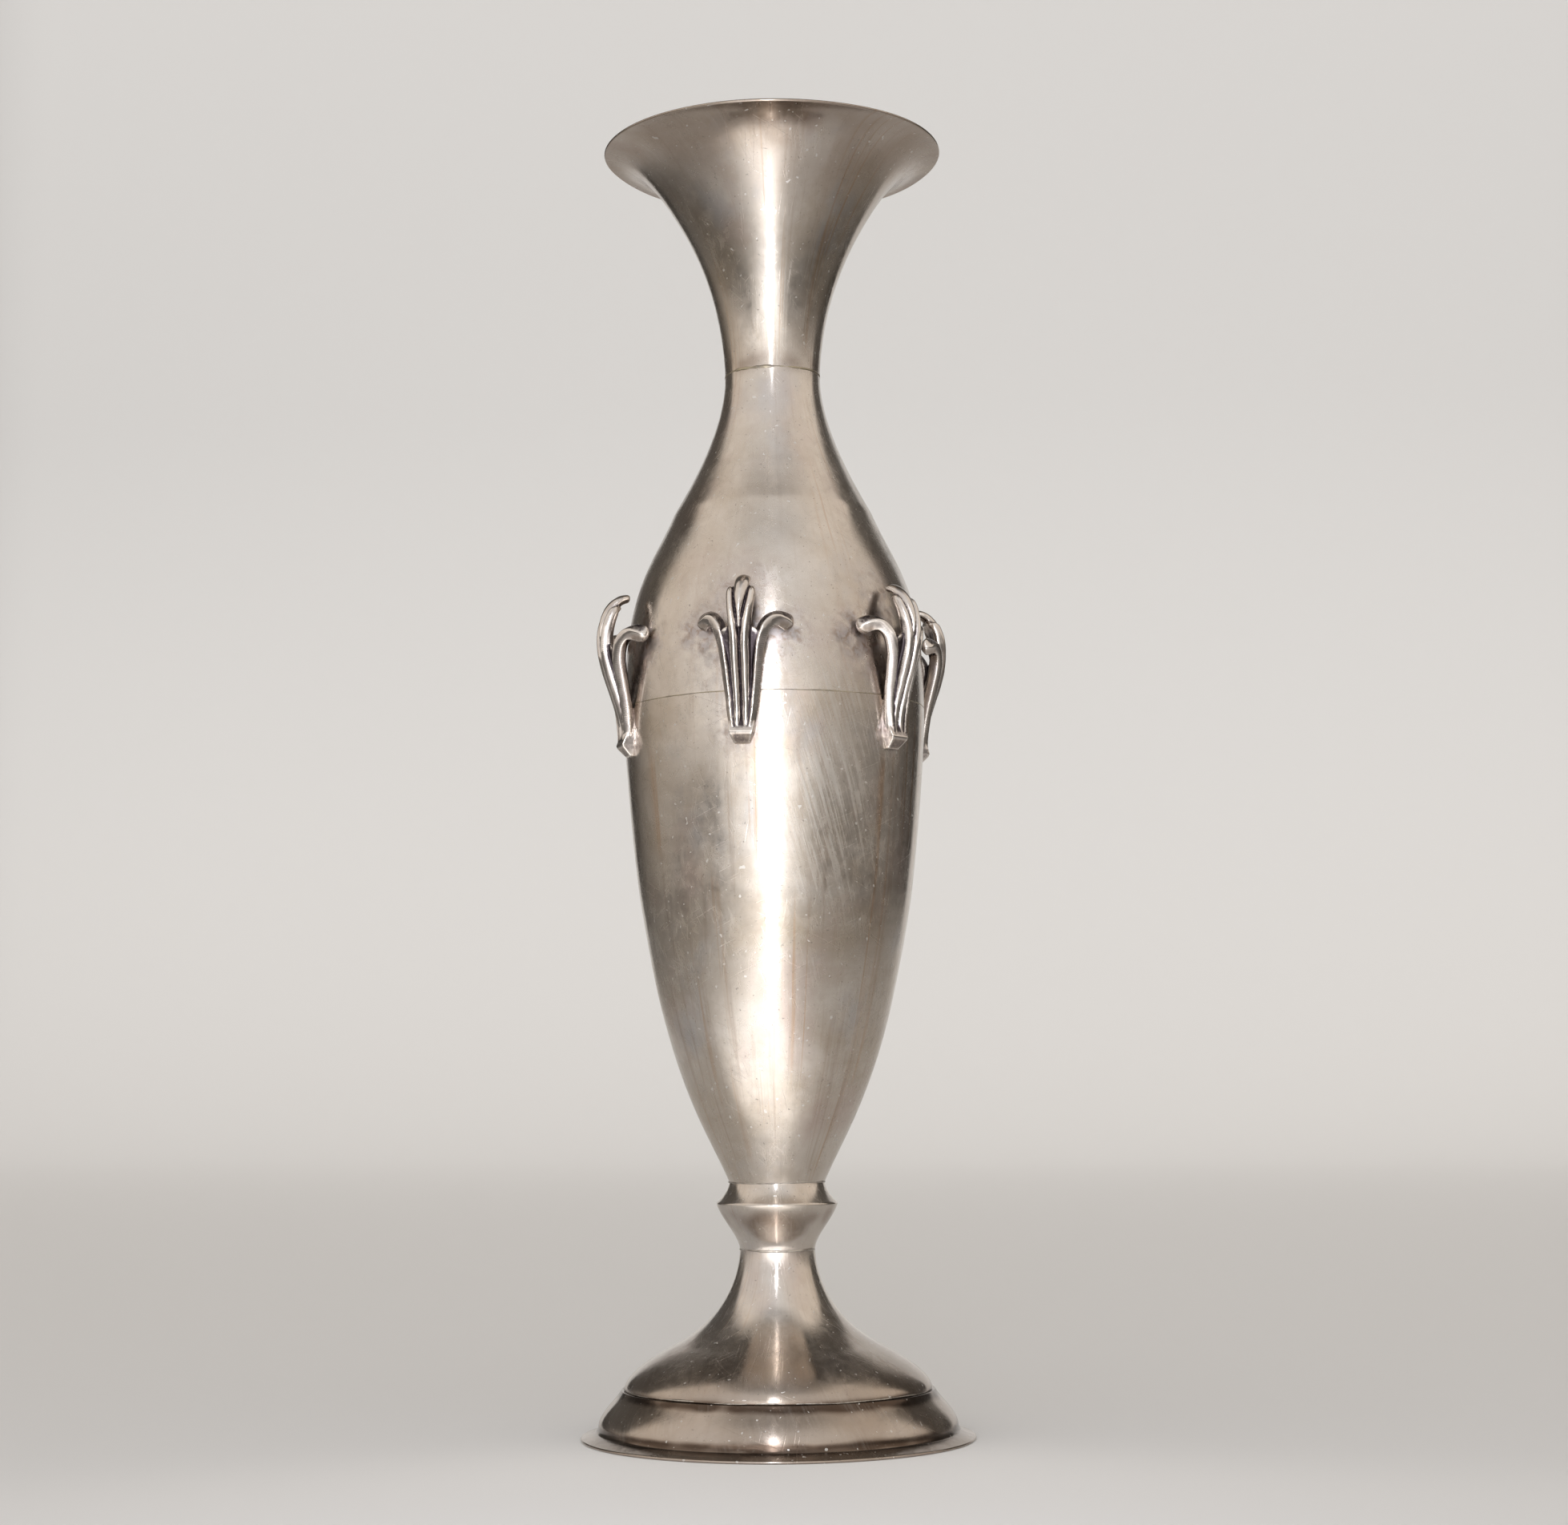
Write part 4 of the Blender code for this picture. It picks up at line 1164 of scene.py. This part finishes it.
def rust_runs(tree, flat, streak):
    """Thin upright runs: a few anywhere on some sides, and more in the streaks that the piece carries."""
    thin_runs = noise(tree, stretched(tree, flat, (900, 14, 1), shift=(4, 2, 0)), 1.0, 2.0, 0.5)
    some_sides = window(tree, noise(tree, stretched(tree, flat, (45, 9, 1)), 1.0, 1.0), 0.50, 0.62)
    return sum_of(tree, times(tree, some_sides, window(tree, thin_runs, 0.58, 0.68, 0.75 * streak)),
                  times(tree, stored(tree, "rusty"), window(tree, thin_runs, 0.42, 0.60, 0.85)))


def tarnished(tree, place, flat, tarnish, streak):
    """Colour of the tarnished plate, and the broad and the fine cloud that later layers share."""
    cloud = noise(tree, place, 26.0, 6.0, 0.62, 0.4)
    fine_cloud = noise(tree, place, 140.0, 5.0, 0.65, 0.3)
    colour = mixed(tree, window(tree, cloud, 0.42, 0.66, 0.75 * tarnish), CLEAN, YELLOWED)
    pinkish = patches(tree, place, (38, 38, 26), (3, 1, 2), 5.0, 0.54, 0.72, 0.55 * tarnish)
    colour = mixed(tree, pinkish, colour, PINK)
    bluish = patches(tree, place, (52, 52, 34), (7, 5, 9), 4.0, 0.55, 0.74, 0.45 * tarnish)
    colour = mixed(tree, bluish, colour, BLUE)
    runs = noise(tree, stretched(tree, flat, (420, 16, 1)), 1.0, 4.0, 0.6)
    colour = mixed(tree, window(tree, runs, 0.55, 0.74, 0.42 * streak), colour, BROWN)
    colour = mixed(tree, rust_runs(tree, flat, streak), colour, RUST)
    colour = mixed(tree, window(tree, fine_cloud, 0.50, 0.78, 0.30 * tarnish), colour, YELLOWED)
    # Brown from the stored field: partly tarnish, partly painted shade under the rim, at the joints and low
    # on the foot.
    smoke = stored(tree, "tarnish_and_shade")
    colour = mixed(tree, times(tree, smoke, 0.60), colour, BROWN_TARNISH_AND_SHADE)
    # Painted shade, nearly black, where the stored field passes 1: the crevices of the foot ring.
    colour = mixed(tree, window(tree, smoke, 1.0, 1.6), colour, CREVICE_SHADE)
    specks = window(tree, noise(tree, place, 1500.0, 1.0, 0.5), 0.715, 0.76, 0.55)
    return mixed(tree, specks, colour, SMOKE), cloud, fine_cloud


print("clean plate:", CLEAN, "and its darkest crevice:", CREVICE_SHADE)

# %% [markdown]
# Where a bracket was soldered on, the heat left a grey haze, and brown and black crusts inside it. Behind
# the stems the same colours are painted shade. The two crusts are cut from fine noises, so that they
# break up as burnt flux does.
#
# Scratches are long thin noises: a noise that is squeezed hard one way and cut at its highest values
# leaves short straight lines. Four of them, turned to different angles, cross each other as real
# scratches do. The strokes of the rubbed patch are made the same way, but broader and brighter.

# %% Solder stain, scratches and strokes
HAZE = (0.400, 0.365, 0.375)
SCRATCHED = [(8, 2600, 60, 0.685), (62, 2900, 80, 0.70), (118, 2700, 65, 0.695), (160, 2500, 95, 0.70)]
STROKE_ANGLE = np.radians(-14)


def solder_stained(tree, place, colour, stain, fine_cloud):
    """Colour round the soldered spots, and painted shade behind the stems: a grey haze, then brown crackle
    and dark smoke inside it.
    """
    colour = mixed(tree, times(tree, stain, 0.75), colour, HAZE)
    crackle = noise(tree, place, 620.0, 4.0, 0.65, 0.5)
    colour = mixed(tree, times(tree, stain, window(tree, crackle, 0.48, 0.62, 0.8)), colour, BROWN)
    return mixed(tree, times(tree, stain, window(tree, fine_cloud, 0.52, 0.66, 0.6)), colour, SMOKE)


def scratch_lines(tree, flat, angle, spread, thin, cut, shift):
    """Straight lines at one angle: a noise stretched along them and cut above a value."""
    turn, offset = (0.0, 0.0, np.radians(angle)), (shift, shift * 0.7, 0.0)
    places = stretched(tree, flat, (spread, thin, 1.0), turn, offset)
    return window(tree, noise(tree, places, 1.0, 1.0, 0.4), cut, cut + 0.05)


def hairlines(tree, flat):
    """Sum of the scratches: for each row, an angle, a rate across and a rate along, and a cut."""
    lines = [scratch_lines(tree, flat, *row, number + 1) for number, row in enumerate(SCRATCHED)]
    return sum_of(tree, *lines)


def rub_strokes(tree, flat):
    """Slanting strokes inside the rubbed patch."""
    strokes = noise(tree, stretched(tree, flat, (1700, 40, 1), (0, 0, STROKE_ANGLE)), 1.0, 3.0, 0.55)
    return times(tree, stored(tree, "rub"), window(tree, strokes, 0.44, 0.66))


print("scratches at angles:", [row[0] for row in SCRATCHED])

# %% [markdown]
# The shine is never even either. The plate is sharp where it was wiped last and mottled elsewhere, and
# the fine rings left by the spinning tool draw every highlight out up and down the wall. So roughness is
# a sum of noises, and the shader is anisotropic round the wrapped map. The bump is a few hundredths of a
# millimetre deep at most: all forms that change the outline are in the mesh.

# %% Silver plate
RUBBED_BRIGHT = (0.66, 0.64, 0.61)
LINT = (0.75, 0.74, 0.72)
PLATE_RELIEF = 0.016 * MM


def silver_plate(name, tarnish=1.0, streak=1.0, smooth=0.13, brushed=0.75):
    """Aged silver plate for a spun shell. tarnish and streak scale the stains, smooth is the least
    roughness, and brushed is how much the rings of the spinning tool draw a highlight up and down."""
    material, tree, shader, place = new_finish(name)
    flat = add(tree, "UVMap", uv_map="wrap").outputs["UV"]
    # stain: solder stain round the soldered spots, and painted shade behind the stems.
    stain = stored(tree, "stain")
    colour, cloud, fine_cloud = tarnished(tree, place, flat, tarnish, streak)
    colour = solder_stained(tree, place, colour, stain, fine_cloud)
    hairs = hairlines(tree, flat)
    strokes = rub_strokes(tree, flat)
    colour = mixed(tree, times(tree, strokes, 0.55), colour, RUBBED_BRIGHT)
    fluff = noise(tree, stretched(tree, place, (1, 1, 1), shift=(5, 5, 5)), 900.0, 0.0, 0.5)
    lint = window(tree, fluff, 0.80, 0.83, 0.6)
    tree.links.new(mixed(tree, lint, colour, LINT), shader.inputs["Base Color"])

    spun = add(tree, "Tangent", direction_type="UV_MAP", uv_map="wrap").outputs[0]
    tree.links.new(spun, shader.inputs["Tangent"])
    shader.inputs["Anisotropic"].default_value = brushed
    shader.inputs["Anisotropic Rotation"].default_value = 0.25

    polish = noise(tree, place, 60.0, 5.0, 0.6)
    mottled = noise(tree, stretched(tree, place, (330, 330, 210)), 1.0, 6.0, 0.7, 0.6)
    rough = sum_of(tree, smooth, times(tree, window(tree, polish, 0.35, 0.7), 0.09),
                   times(tree, window(tree, mottled, 0.40, 0.66), 0.10),
                   times(tree, window(tree, cloud, 0.42, 0.7), 0.04), times(tree, stain, 0.16),
                   times(tree, strokes, 0.14), times(tree, hairs, 0.06), times(tree, lint, 0.28))
    tree.links.new(rough, shader.inputs["Roughness"])

    rings = noise(tree, stretched(tree, flat, (14, 2600, 1)), 1.0, 2.0, 0.5)
    ripples = noise(tree, place, 420.0, 3.0, 0.5)
    height = sum_of(tree, times(tree, hairs, -0.35), times(tree, rings, 0.22), times(tree, strokes, 0.9),
                    times(tree, ripples, 0.5), times(tree, stain, times(tree, fine_cloud, 2.0)))
    relief(tree, shader, height, PLATE_RELIEF)
    return material


FINISHES = {
    "fine_mouth": silver_plate("mouth_plate", 1.5, 0.8, 0.12, 0.8),
    "fine_shoulder": silver_plate("shoulder_plate", 0.9, 0.5),
    "fine_belly": silver_plate("belly_plate", 1.35, 1.1, 0.14),
    "fine_knop": silver_plate("knop_plate", 1.1, 0.5, 0.10, 0.88),
    "fine_foot": silver_plate("foot_plate", 1.0, 0.4, 0.10, 0.88),
    "fine_ring": silver_plate("ring_plate", 1.1, 0.4, 0.10, 0.85),
}
print("plate finishes:", len(FINISHES))

# %% [markdown]
# The castings were blackened and then wiped, so their grooves are nearly black and their ridges are
# bright. Both come from the marks stored on the mesh. The black on the tops of the scrolls and on the
# pad's facet is painted shade, and so is the brown on faces that look down. A file has left fine level
# lines on the side faces. Solder is duller and yellower than plate, and grainy.

# %% Finish of the castings and of the solder
CAST_PALE = (0.560, 0.512, 0.478)
CAST_GREY = (0.400, 0.352, 0.335)
CAST_UNDERSIDE_SHADE = (0.300, 0.240, 0.195)
CAST_WORN = (0.660, 0.610, 0.565)
CAST_BLACK = (0.066, 0.053, 0.058)
YELLOW_SOLDER = (0.395, 0.340, 0.245)
GREY_SOLDER = (0.47, 0.43, 0.38)


def cast_silver(name):
    """Oxidised cast silver: worn ridges, black grooves, painted shade on the undersides, the scroll tops
    and the pad's facet, and file marks.
    """
    material, tree, shader, place = new_finish(name)
    patina_and_shade, filed = stored(tree, "patina_and_shade"), stored(tree, "filed")
    cloud = noise(tree, place, 240.0, 4.0, 0.6)
    grit = noise(tree, place, 1500.0, 3.0, 0.6)
    colour = mixed(tree, window(tree, cloud, 0.40, 0.68), CAST_PALE, CAST_GREY)
    # Painted shade: faces that look down are browner.
    colour = mixed(tree, times(tree, stored(tree, "below"), 0.8), colour, CAST_UNDERSIDE_SHADE)
    colour = mixed(tree, stored(tree, "worn"), colour, CAST_WORN)
    dark = sum_of(tree, patina_and_shade, times(tree, window(tree, grit, 0.50, 0.66), -0.35))
    colour = mixed(tree, window(tree, dark, 0.06, 0.80), colour, CAST_BLACK)
    tree.links.new(colour, shader.inputs["Base Color"])
    rough = sum_of(tree, 0.13, times(tree, patina_and_shade, 0.25), times(tree, window(tree, cloud, 0.4, 0.7), 0.10),
                   times(tree, filed, 0.12))
    tree.links.new(rough, shader.inputs["Roughness"])
    file_lines = add(tree, "TexWave", {"Vector": place, "Scale": 620.0, "Distortion": 3.0, "Detail": 2.0,
                                       "Detail Scale": 1.5}, bands_direction="Z").outputs["Fac"]
    height = sum_of(tree, times(tree, grit, 0.4), cloud, times(tree, times(tree, file_lines, filed), 1.8))
    relief(tree, shader, height, 0.012 * MM)
    return material


def old_solder(name, colour, rough):
    """Dull solder with a grainy skin."""
    material, tree, shader, place = new_finish(name)
    cloud = noise(tree, place, 260.0, 4.0, 0.6)
    tree.links.new(mixed(tree, window(tree, cloud, 0.4, 0.68), colour, SMOKE), shader.inputs["Base Color"])
    tree.links.new(sum_of(tree, rough, times(tree, cloud, 0.2)), shader.inputs["Roughness"])
    relief(tree, shader, noise(tree, place, 2200.0, 2.0), 0.03 * MM)
    return material


CAST_FINISH = cast_silver("cast_silver")
JOINT_SOLDER = old_solder("yellow_solder", YELLOW_SOLDER, 0.30)
FOOT_SOLDER = old_solder("grey_solder", GREY_SOLDER, 0.24)
print("other finishes:", CAST_FINISH.name, JOINT_SOLDER.name, FOOT_SOLDER.name)

# %% [markdown]
# ## Every piece takes its place
#
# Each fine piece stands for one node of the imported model, which is then hidden. The solder beads stand
# for nothing, because solder isn't a piece of its own. All pieces ride on the one body, root.

# %% Dress the model
STANDS_FOR = {
    "fine_mouth": ("mouth_trumpet", "mouth_silver"),
    "fine_shoulder": ("shoulder_shell", "shoulder_silver"),
    "fine_belly": ("belly_cup", "belly_silver"),
    "fine_knop": ("knop_collar", "knop_silver"),
    "fine_foot": ("foot_shell", "foot_silver"),
    "fine_ring": ("foot_ring", "ring_silver"),
}
for name, obj in SHELLS.items():
    node, slot = STANDS_FOR[name]
    obj.data.materials.append(FINISHES[name])
    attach(obj, "root")
    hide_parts(node)

for number, obj in enumerate(BRACKETS):
    obj.data.materials.append(CAST_FINISH)
    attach(obj, "root")
    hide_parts(f"leaf_bracket_{number + 1}")

for name, obj in BEADS.items():
    obj.data.materials.append(JOINT_SOLDER if name in ("solder_neck", "solder_seam") else FOOT_SOLDER)
    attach(obj, "root")
print("pieces dressed:", len(SHELLS) + len(BRACKETS) + len(BEADS))

# %% [markdown]
# ## Camera
#
# The photograph was taken from low down, 12 degrees round from the bracket at azimuth 0, and the
# camera looks up by nearly 7 degrees. The distance comes from how strongly the foot and the rim curve.

# %% Camera at the photograph's place
PHOTO_WIDTH = 1958
CAMERA_AZIMUTH = np.radians(12.0)
CAMERA_DISTANCE = 740 * MM
CAMERA_LEVEL = 91.9 * MM
CAMERA_TILT = 0.1183
CAMERA_PAN = 0.0034
CAMERA_ROLL = -0.0061
FOCAL_PIXELS = 3417.5


def camera_axes():
    """Right, up and back of the camera: turned to the vase, tilted up, and rolled a little."""
    turn = CAMERA_AZIMUTH - CAMERA_PAN
    ahead = np.array([-np.sin(turn), np.cos(turn), 0.0])
    right = np.array([np.cos(turn), np.sin(turn), 0.0])
    upright = np.array([0.0, 0.0, 1.0])
    look = ahead * np.cos(CAMERA_TILT) + upright * np.sin(CAMERA_TILT)
    top = upright * np.cos(CAMERA_TILT) - ahead * np.sin(CAMERA_TILT)
    rolled_right = right * np.cos(CAMERA_ROLL) + top * np.sin(CAMERA_ROLL)
    rolled_top = top * np.cos(CAMERA_ROLL) - right * np.sin(CAMERA_ROLL)
    return rolled_right, rolled_top, -look


camera_data = bpy.data.cameras.new("camera")
camera_data.sensor_width = 36.0
camera_data.lens = camera_data.sensor_width * FOCAL_PIXELS / PHOTO_WIDTH
camera = bpy.data.objects.new("camera", camera_data)
bpy.context.scene.collection.objects.link(camera)
bpy.context.scene.camera = camera
camera_place = np.eye(4)
camera_place[:3, :3] = np.stack(camera_axes(), axis=1)
camera_place[:3, 3] = (CAMERA_DISTANCE * np.sin(CAMERA_AZIMUTH), -CAMERA_DISTANCE * np.cos(CAMERA_AZIMUTH),
                       CAMERA_LEVEL)
camera.matrix_world = Matrix(camera_place.tolist())
print(f"lens {camera_data.lens:.1f} mm")

# %% [markdown]
# ## Floor and backdrop
#
# Polished metal shows its room, so the room is part of the finish. A pale floor runs up into a pale
# backdrop in one soft curve behind the vase, like a wide roll of paper. It is only a little wider than
# the picture. To the left and right of it the floor's colour falls off to grey: painted shade, because
# the flanks of the real vase mirror something dimmer. A wall behind a floor would show a corner. One
# sheet with a cove does not.

# %% Floor and backdrop
PALE = (0.80, 0.80, 0.80)
FLOOR_SHADE = (0.22, 0.22, 0.215)
PAPER_HALF = 0.30
PAPER_WIDENS = 0.36
PAPER_FADE = 0.55
PAPER_ROUGHNESS = 0.8
FLOOR_HALF = 5.0
BACKDROP_DISTANCE = 3.6
BACKDROP_HALF = 1.72
BACKDROP_HEIGHT = 3.0
BACKDROP_TURN = np.radians(6.0)
COVE_RADIUS = 1.2


def seen_from_camera(points, turn=CAMERA_AZIMUTH):
    """From across, ahead and up, as the camera sees them, to x, y and z."""
    across, ahead, up = points[..., 0], points[..., 1], points[..., 2]
    x = across * np.cos(turn) - ahead * np.sin(turn)
    y = across * np.sin(turn) + ahead * np.cos(turn)
    return np.stack([x, y, up], axis=-1)


def stage_sheet():
    """Flat floor of 9 faces without the far middle one, where a cove of radius R and a wall stand
    instead: the cove goes ahead by R sin b and up by R (1 - cos b)."""
    start = BACKDROP_DISTANCE - COVE_RADIUS
    across = np.array([-FLOOR_HALF, -BACKDROP_HALF, BACKDROP_HALF, FLOOR_HALF])
    ahead = np.array([-FLOOR_HALF, 0.0, start, FLOOR_HALF])
    flat = np.stack(np.broadcast_arrays(across[:, None], ahead[None, :], 0.0), axis=-1)
    index = np.arange(16).reshape(4, 4)
    floor = np.stack([index[:-1, :-1], index[1:, :-1], index[1:, 1:], index[:-1, 1:]], axis=-1)
    floor = np.delete(floor.reshape(-1, 4), 5, axis=0)
    bend = np.linspace(0, np.pi / 2, 32)[1:]
    rise = np.stack([start + COVE_RADIUS * np.sin(bend), COVE_RADIUS * (1 - np.cos(bend))], axis=1)
    rise = np.concatenate([rise, [(BACKDROP_DISTANCE, BACKDROP_HEIGHT)]])
    sides = np.array([-BACKDROP_HALF, BACKDROP_HALF])
    wall = np.stack(np.broadcast_arrays(sides[:, None], rise[None, :, 0], rise[None, :, 1]), axis=-1)
    left = np.concatenate([[index[1, 2]], 16 + np.arange(len(rise))])
    right = np.concatenate([[index[2, 2]], 16 + len(rise) + np.arange(len(rise))])
    strips = np.stack([left[:-1], right[:-1], right[1:], left[1:]], axis=-1)
    points = seen_from_camera(np.concatenate([flat.reshape(-1, 3), wall.reshape(-1, 3)]), BACKDROP_TURN)
    return points, np.concatenate([floor, strips])


def share_along(tree, places, direction):
    """How far each place lies along a direction."""
    axis = tuple(float(part) for part in direction)
    return add(tree, "VectorMath", {0: places, 1: axis}, operation="DOT_PRODUCT").outputs["Value"]


def paper_with_floor_shade():
    """Matt paper: pale inside a band that widens away from the camera, and painted shade, dimmer, beside
    it.
    """
    material, tree, shader, place = new_finish("paper", metallic=0.0)
    sideways, onward, _ = seen_from_camera(np.eye(3), BACKDROP_TURN)
    away = calc(tree, "ABSOLUTE", share_along(tree, place, sideways))
    behind = calc(tree, "MAXIMUM", share_along(tree, place, onward), 0.0)
    beside = sum_of(tree, away, times(tree, behind, -PAPER_WIDENS))
    # Painted shade: beside the pale band the paper turns dim.
    floor_shade_share = eased(tree, beside, PAPER_HALF, PAPER_HALF + PAPER_FADE)
    tree.links.new(mixed(tree, floor_shade_share, PALE, FLOOR_SHADE), shader.inputs["Base Color"])
    shader.inputs["Roughness"].default_value = PAPER_ROUGHNESS
    return material


stage_points, stage_faces = stage_sheet()
paper = mesh_object("paper", stage_points, stage_faces, np.zeros((0, 3), int))
paper.data.materials.append(paper_with_floor_shade())
print("paper:", len(stage_faces), "faces")

# %% [markdown]
# ## Light of the room
#
# The light follows what the real vase mirrors. Low down the room is brightest behind the camera and
# fades to both sides, a little faster on the right, where the walls are darker too. Higher up, a pale
# ceiling reaches round to about 114 degrees on both sides and then stops: its two edges draw the pale
# field with straight sides that runs down the shoulder. Overhead the ceiling is dimmer. An environment
# picture could do the same, but this room is a sum of a few soft steps, so the world works it out from
# the direction of each ray.

# %% Glow of the room
GLOW = 1.25
GLOW_LEFT = np.radians(72)
GLOW_RIGHT = np.radians(51)
WALLS_LEFT = 0.50
WALLS_RIGHT = 0.12
WALLS_FROM, WALLS_TO = np.radians(150), np.radians(98)
CEILING = 0.95
CEILING_FROM, CEILING_TO = np.radians(118), np.radians(110)
TOP_FROM, TOP_TO = np.radians(60), np.radians(80)
OVERHEAD = 0.35
LOW_TO, HIGH_FROM = np.radians(5), np.radians(15)
ROOM_BASE = 0.06
WALL_WARMTH = (1.0, 0.91, 0.81)
FRONT_WHITE = (1.0, 0.985, 0.97)


def room_glow():
    """World light by direction. Low: base + walls + glow * exp(-(angle / width)^2), where the angle goes
    round from the camera side. High: base + ceiling, out to the ceiling's edges and dimmer overhead.
    The two blend from 5 to 15 degrees up. The glow is white and the rest is warm."""
    world = bpy.data.worlds.new("room")
    bpy.context.scene.world = world
    world.use_nodes = True
    tree = world.node_tree
    right, away, _ = seen_from_camera(np.eye(3))
    direction = add(tree, "TexCoord").outputs["Generated"]
    ahead, aside = share_along(tree, direction, -away), share_along(tree, direction, right)
    high = add(tree, "SeparateXYZ", {0: direction}).outputs["Z"]
    angle = calc(tree, "ARCTAN2", aside, ahead)
    turned_away = calc(tree, "ABSOLUTE", angle)

    share = calc(tree, "DIVIDE", angle, eased(tree, angle, -0.3, 0.3, GLOW_LEFT, GLOW_RIGHT))
    lobe = calc(tree, "POWER", float(np.e), times(tree, times(tree, share, share), -1.0))
    walls = times(tree, eased(tree, turned_away, WALLS_TO, WALLS_FROM, 1.0, 0.0),
                  eased(tree, angle, -0.5, 0.5, WALLS_LEFT, WALLS_RIGHT))
    ceiling = times(tree, eased(tree, turned_away, CEILING_TO, CEILING_FROM, CEILING, ROOM_BASE),
                    eased(tree, high, np.sin(TOP_FROM), np.sin(TOP_TO), 1.0, OVERHEAD))
    blend = eased(tree, high, np.sin(LOW_TO), np.sin(HIGH_FROM))
    low = times(tree, sum_of(tree, times(tree, lobe, GLOW), walls), calc(tree, "SUBTRACT", 1.0, blend))
    strength = sum_of(tree, low, times(tree, ceiling, blend), ROOM_BASE)
    background = tree.nodes["Background"]
    tree.links.new(mixed(tree, lobe, WALL_WARMTH, FRONT_WHITE), background.inputs["Color"])
    tree.links.new(strength, background.inputs["Strength"])


room_glow()
print(f"glow {GLOW}, walls {WALLS_LEFT} left and {WALLS_RIGHT} right, ceiling {CEILING}, "
      f"overhead {CEILING * OVERHEAD:.2f}")

# %% [markdown]
# ## Lamps
#
# A silver wall shows every edge of a lamp, and the real highlights have no edges: they rise from dusk to
# white in one slope. So the light in front is a stack of cards, each smaller than the one before and a
# little nearer, whose light adds up towards the middle. Seven stand behind the camera lamp and draw the
# broad highlight of the belly. Four lie on the floor in front of the vase and face up, because its
# lower half leans over and mirrors the floor. A small lamp near the camera, a tall narrow one above it
# and a thin near strip draw the white line that runs down the middle. The camera sees none of them.

# %% Lamps
LAMP_WHITE = (1.0, 0.99, 0.975)
LAMP_COOL = (0.94, 0.985, 1.07)
CARD_COUNT = 7
WHITE_CARDS = 2
CARD_RADIANCE = 0.45
FLOOR_CARD_COUNT = 4


def light_panel(name, place, aim, width, height, radiance, colour):
    """Flat lamp at a place given as across, ahead and up, turned to a point. Its power gives the asked
    radiance: pi times area times radiance."""
    lamp = bpy.data.lights.new(name, "AREA")
    lamp.shape = "RECTANGLE"
    lamp.size, lamp.size_y = width, height
    lamp.energy = np.pi * width * height * radiance
    lamp.color = colour
    obj = bpy.data.objects.new(name, lamp)
    bpy.context.scene.collection.objects.link(obj)
    start, end = seen_from_camera(np.array([place, aim], float))
    back = (start - end) / np.linalg.norm(start - end)
    right = np.cross([0.0, 0.0, 1.0], back)
    right /= np.linalg.norm(right)
    matrix = np.eye(4)
    matrix[:3, :3] = np.stack([right, np.cross(back, right), back], axis=1)
    matrix[:3, 3] = start
    obj.matrix_world = Matrix(matrix.tolist())
    obj.visible_camera = False


for step in range(CARD_COUNT):
    light_panel(f"card_{step + 1}", (-0.085 + 0.008 * step, -0.98 + 0.015 * step, 0.125 - 0.007 * step),
                (0.0, 0.0, 0.15), 1.5 * 0.7 ** step, 0.36 * 0.89 ** step, CARD_RADIANCE,
                LAMP_WHITE if step < WHITE_CARDS else LAMP_COOL)
for step in range(FLOOR_CARD_COUNT):
    across, ahead = -0.07 + 0.01 * step, -0.40 + 0.04 * step
    light_panel(f"floor_card_{step + 1}", (across, ahead, 0.005 + 0.001 * step),
                (across, ahead + 0.001, 0.5), 0.45 * 0.70 ** step, 0.66 * 0.86 ** step,
                0.20 + 0.10 * step, LAMP_WHITE)
light_panel("camera_lamp", (-0.03, -0.80, 0.08), (0.0, 0.0, 0.15), 0.08, 0.10, 8.0, LAMP_COOL)
light_panel("strip", (-0.03, -1.2, 0.45), (0.0, 0.0, 0.17), 0.06, 0.86, 4.0, LAMP_COOL)
light_panel("near_strip", (-0.022, -0.34, 0.175), (0.0, 0.0, 0.175), 0.020, 0.31, 12.0, LAMP_COOL)

# %% [markdown]
# ## Picture settings
#
# Blender's own view bends bright tones down. The Standard view shows a colour about as it is written,
# so the plate's colours above can be compared with the real ones.

# %% Plain view
view = bpy.context.scene.view_settings
view.view_transform = "Standard"
print("view:", view.view_transform)
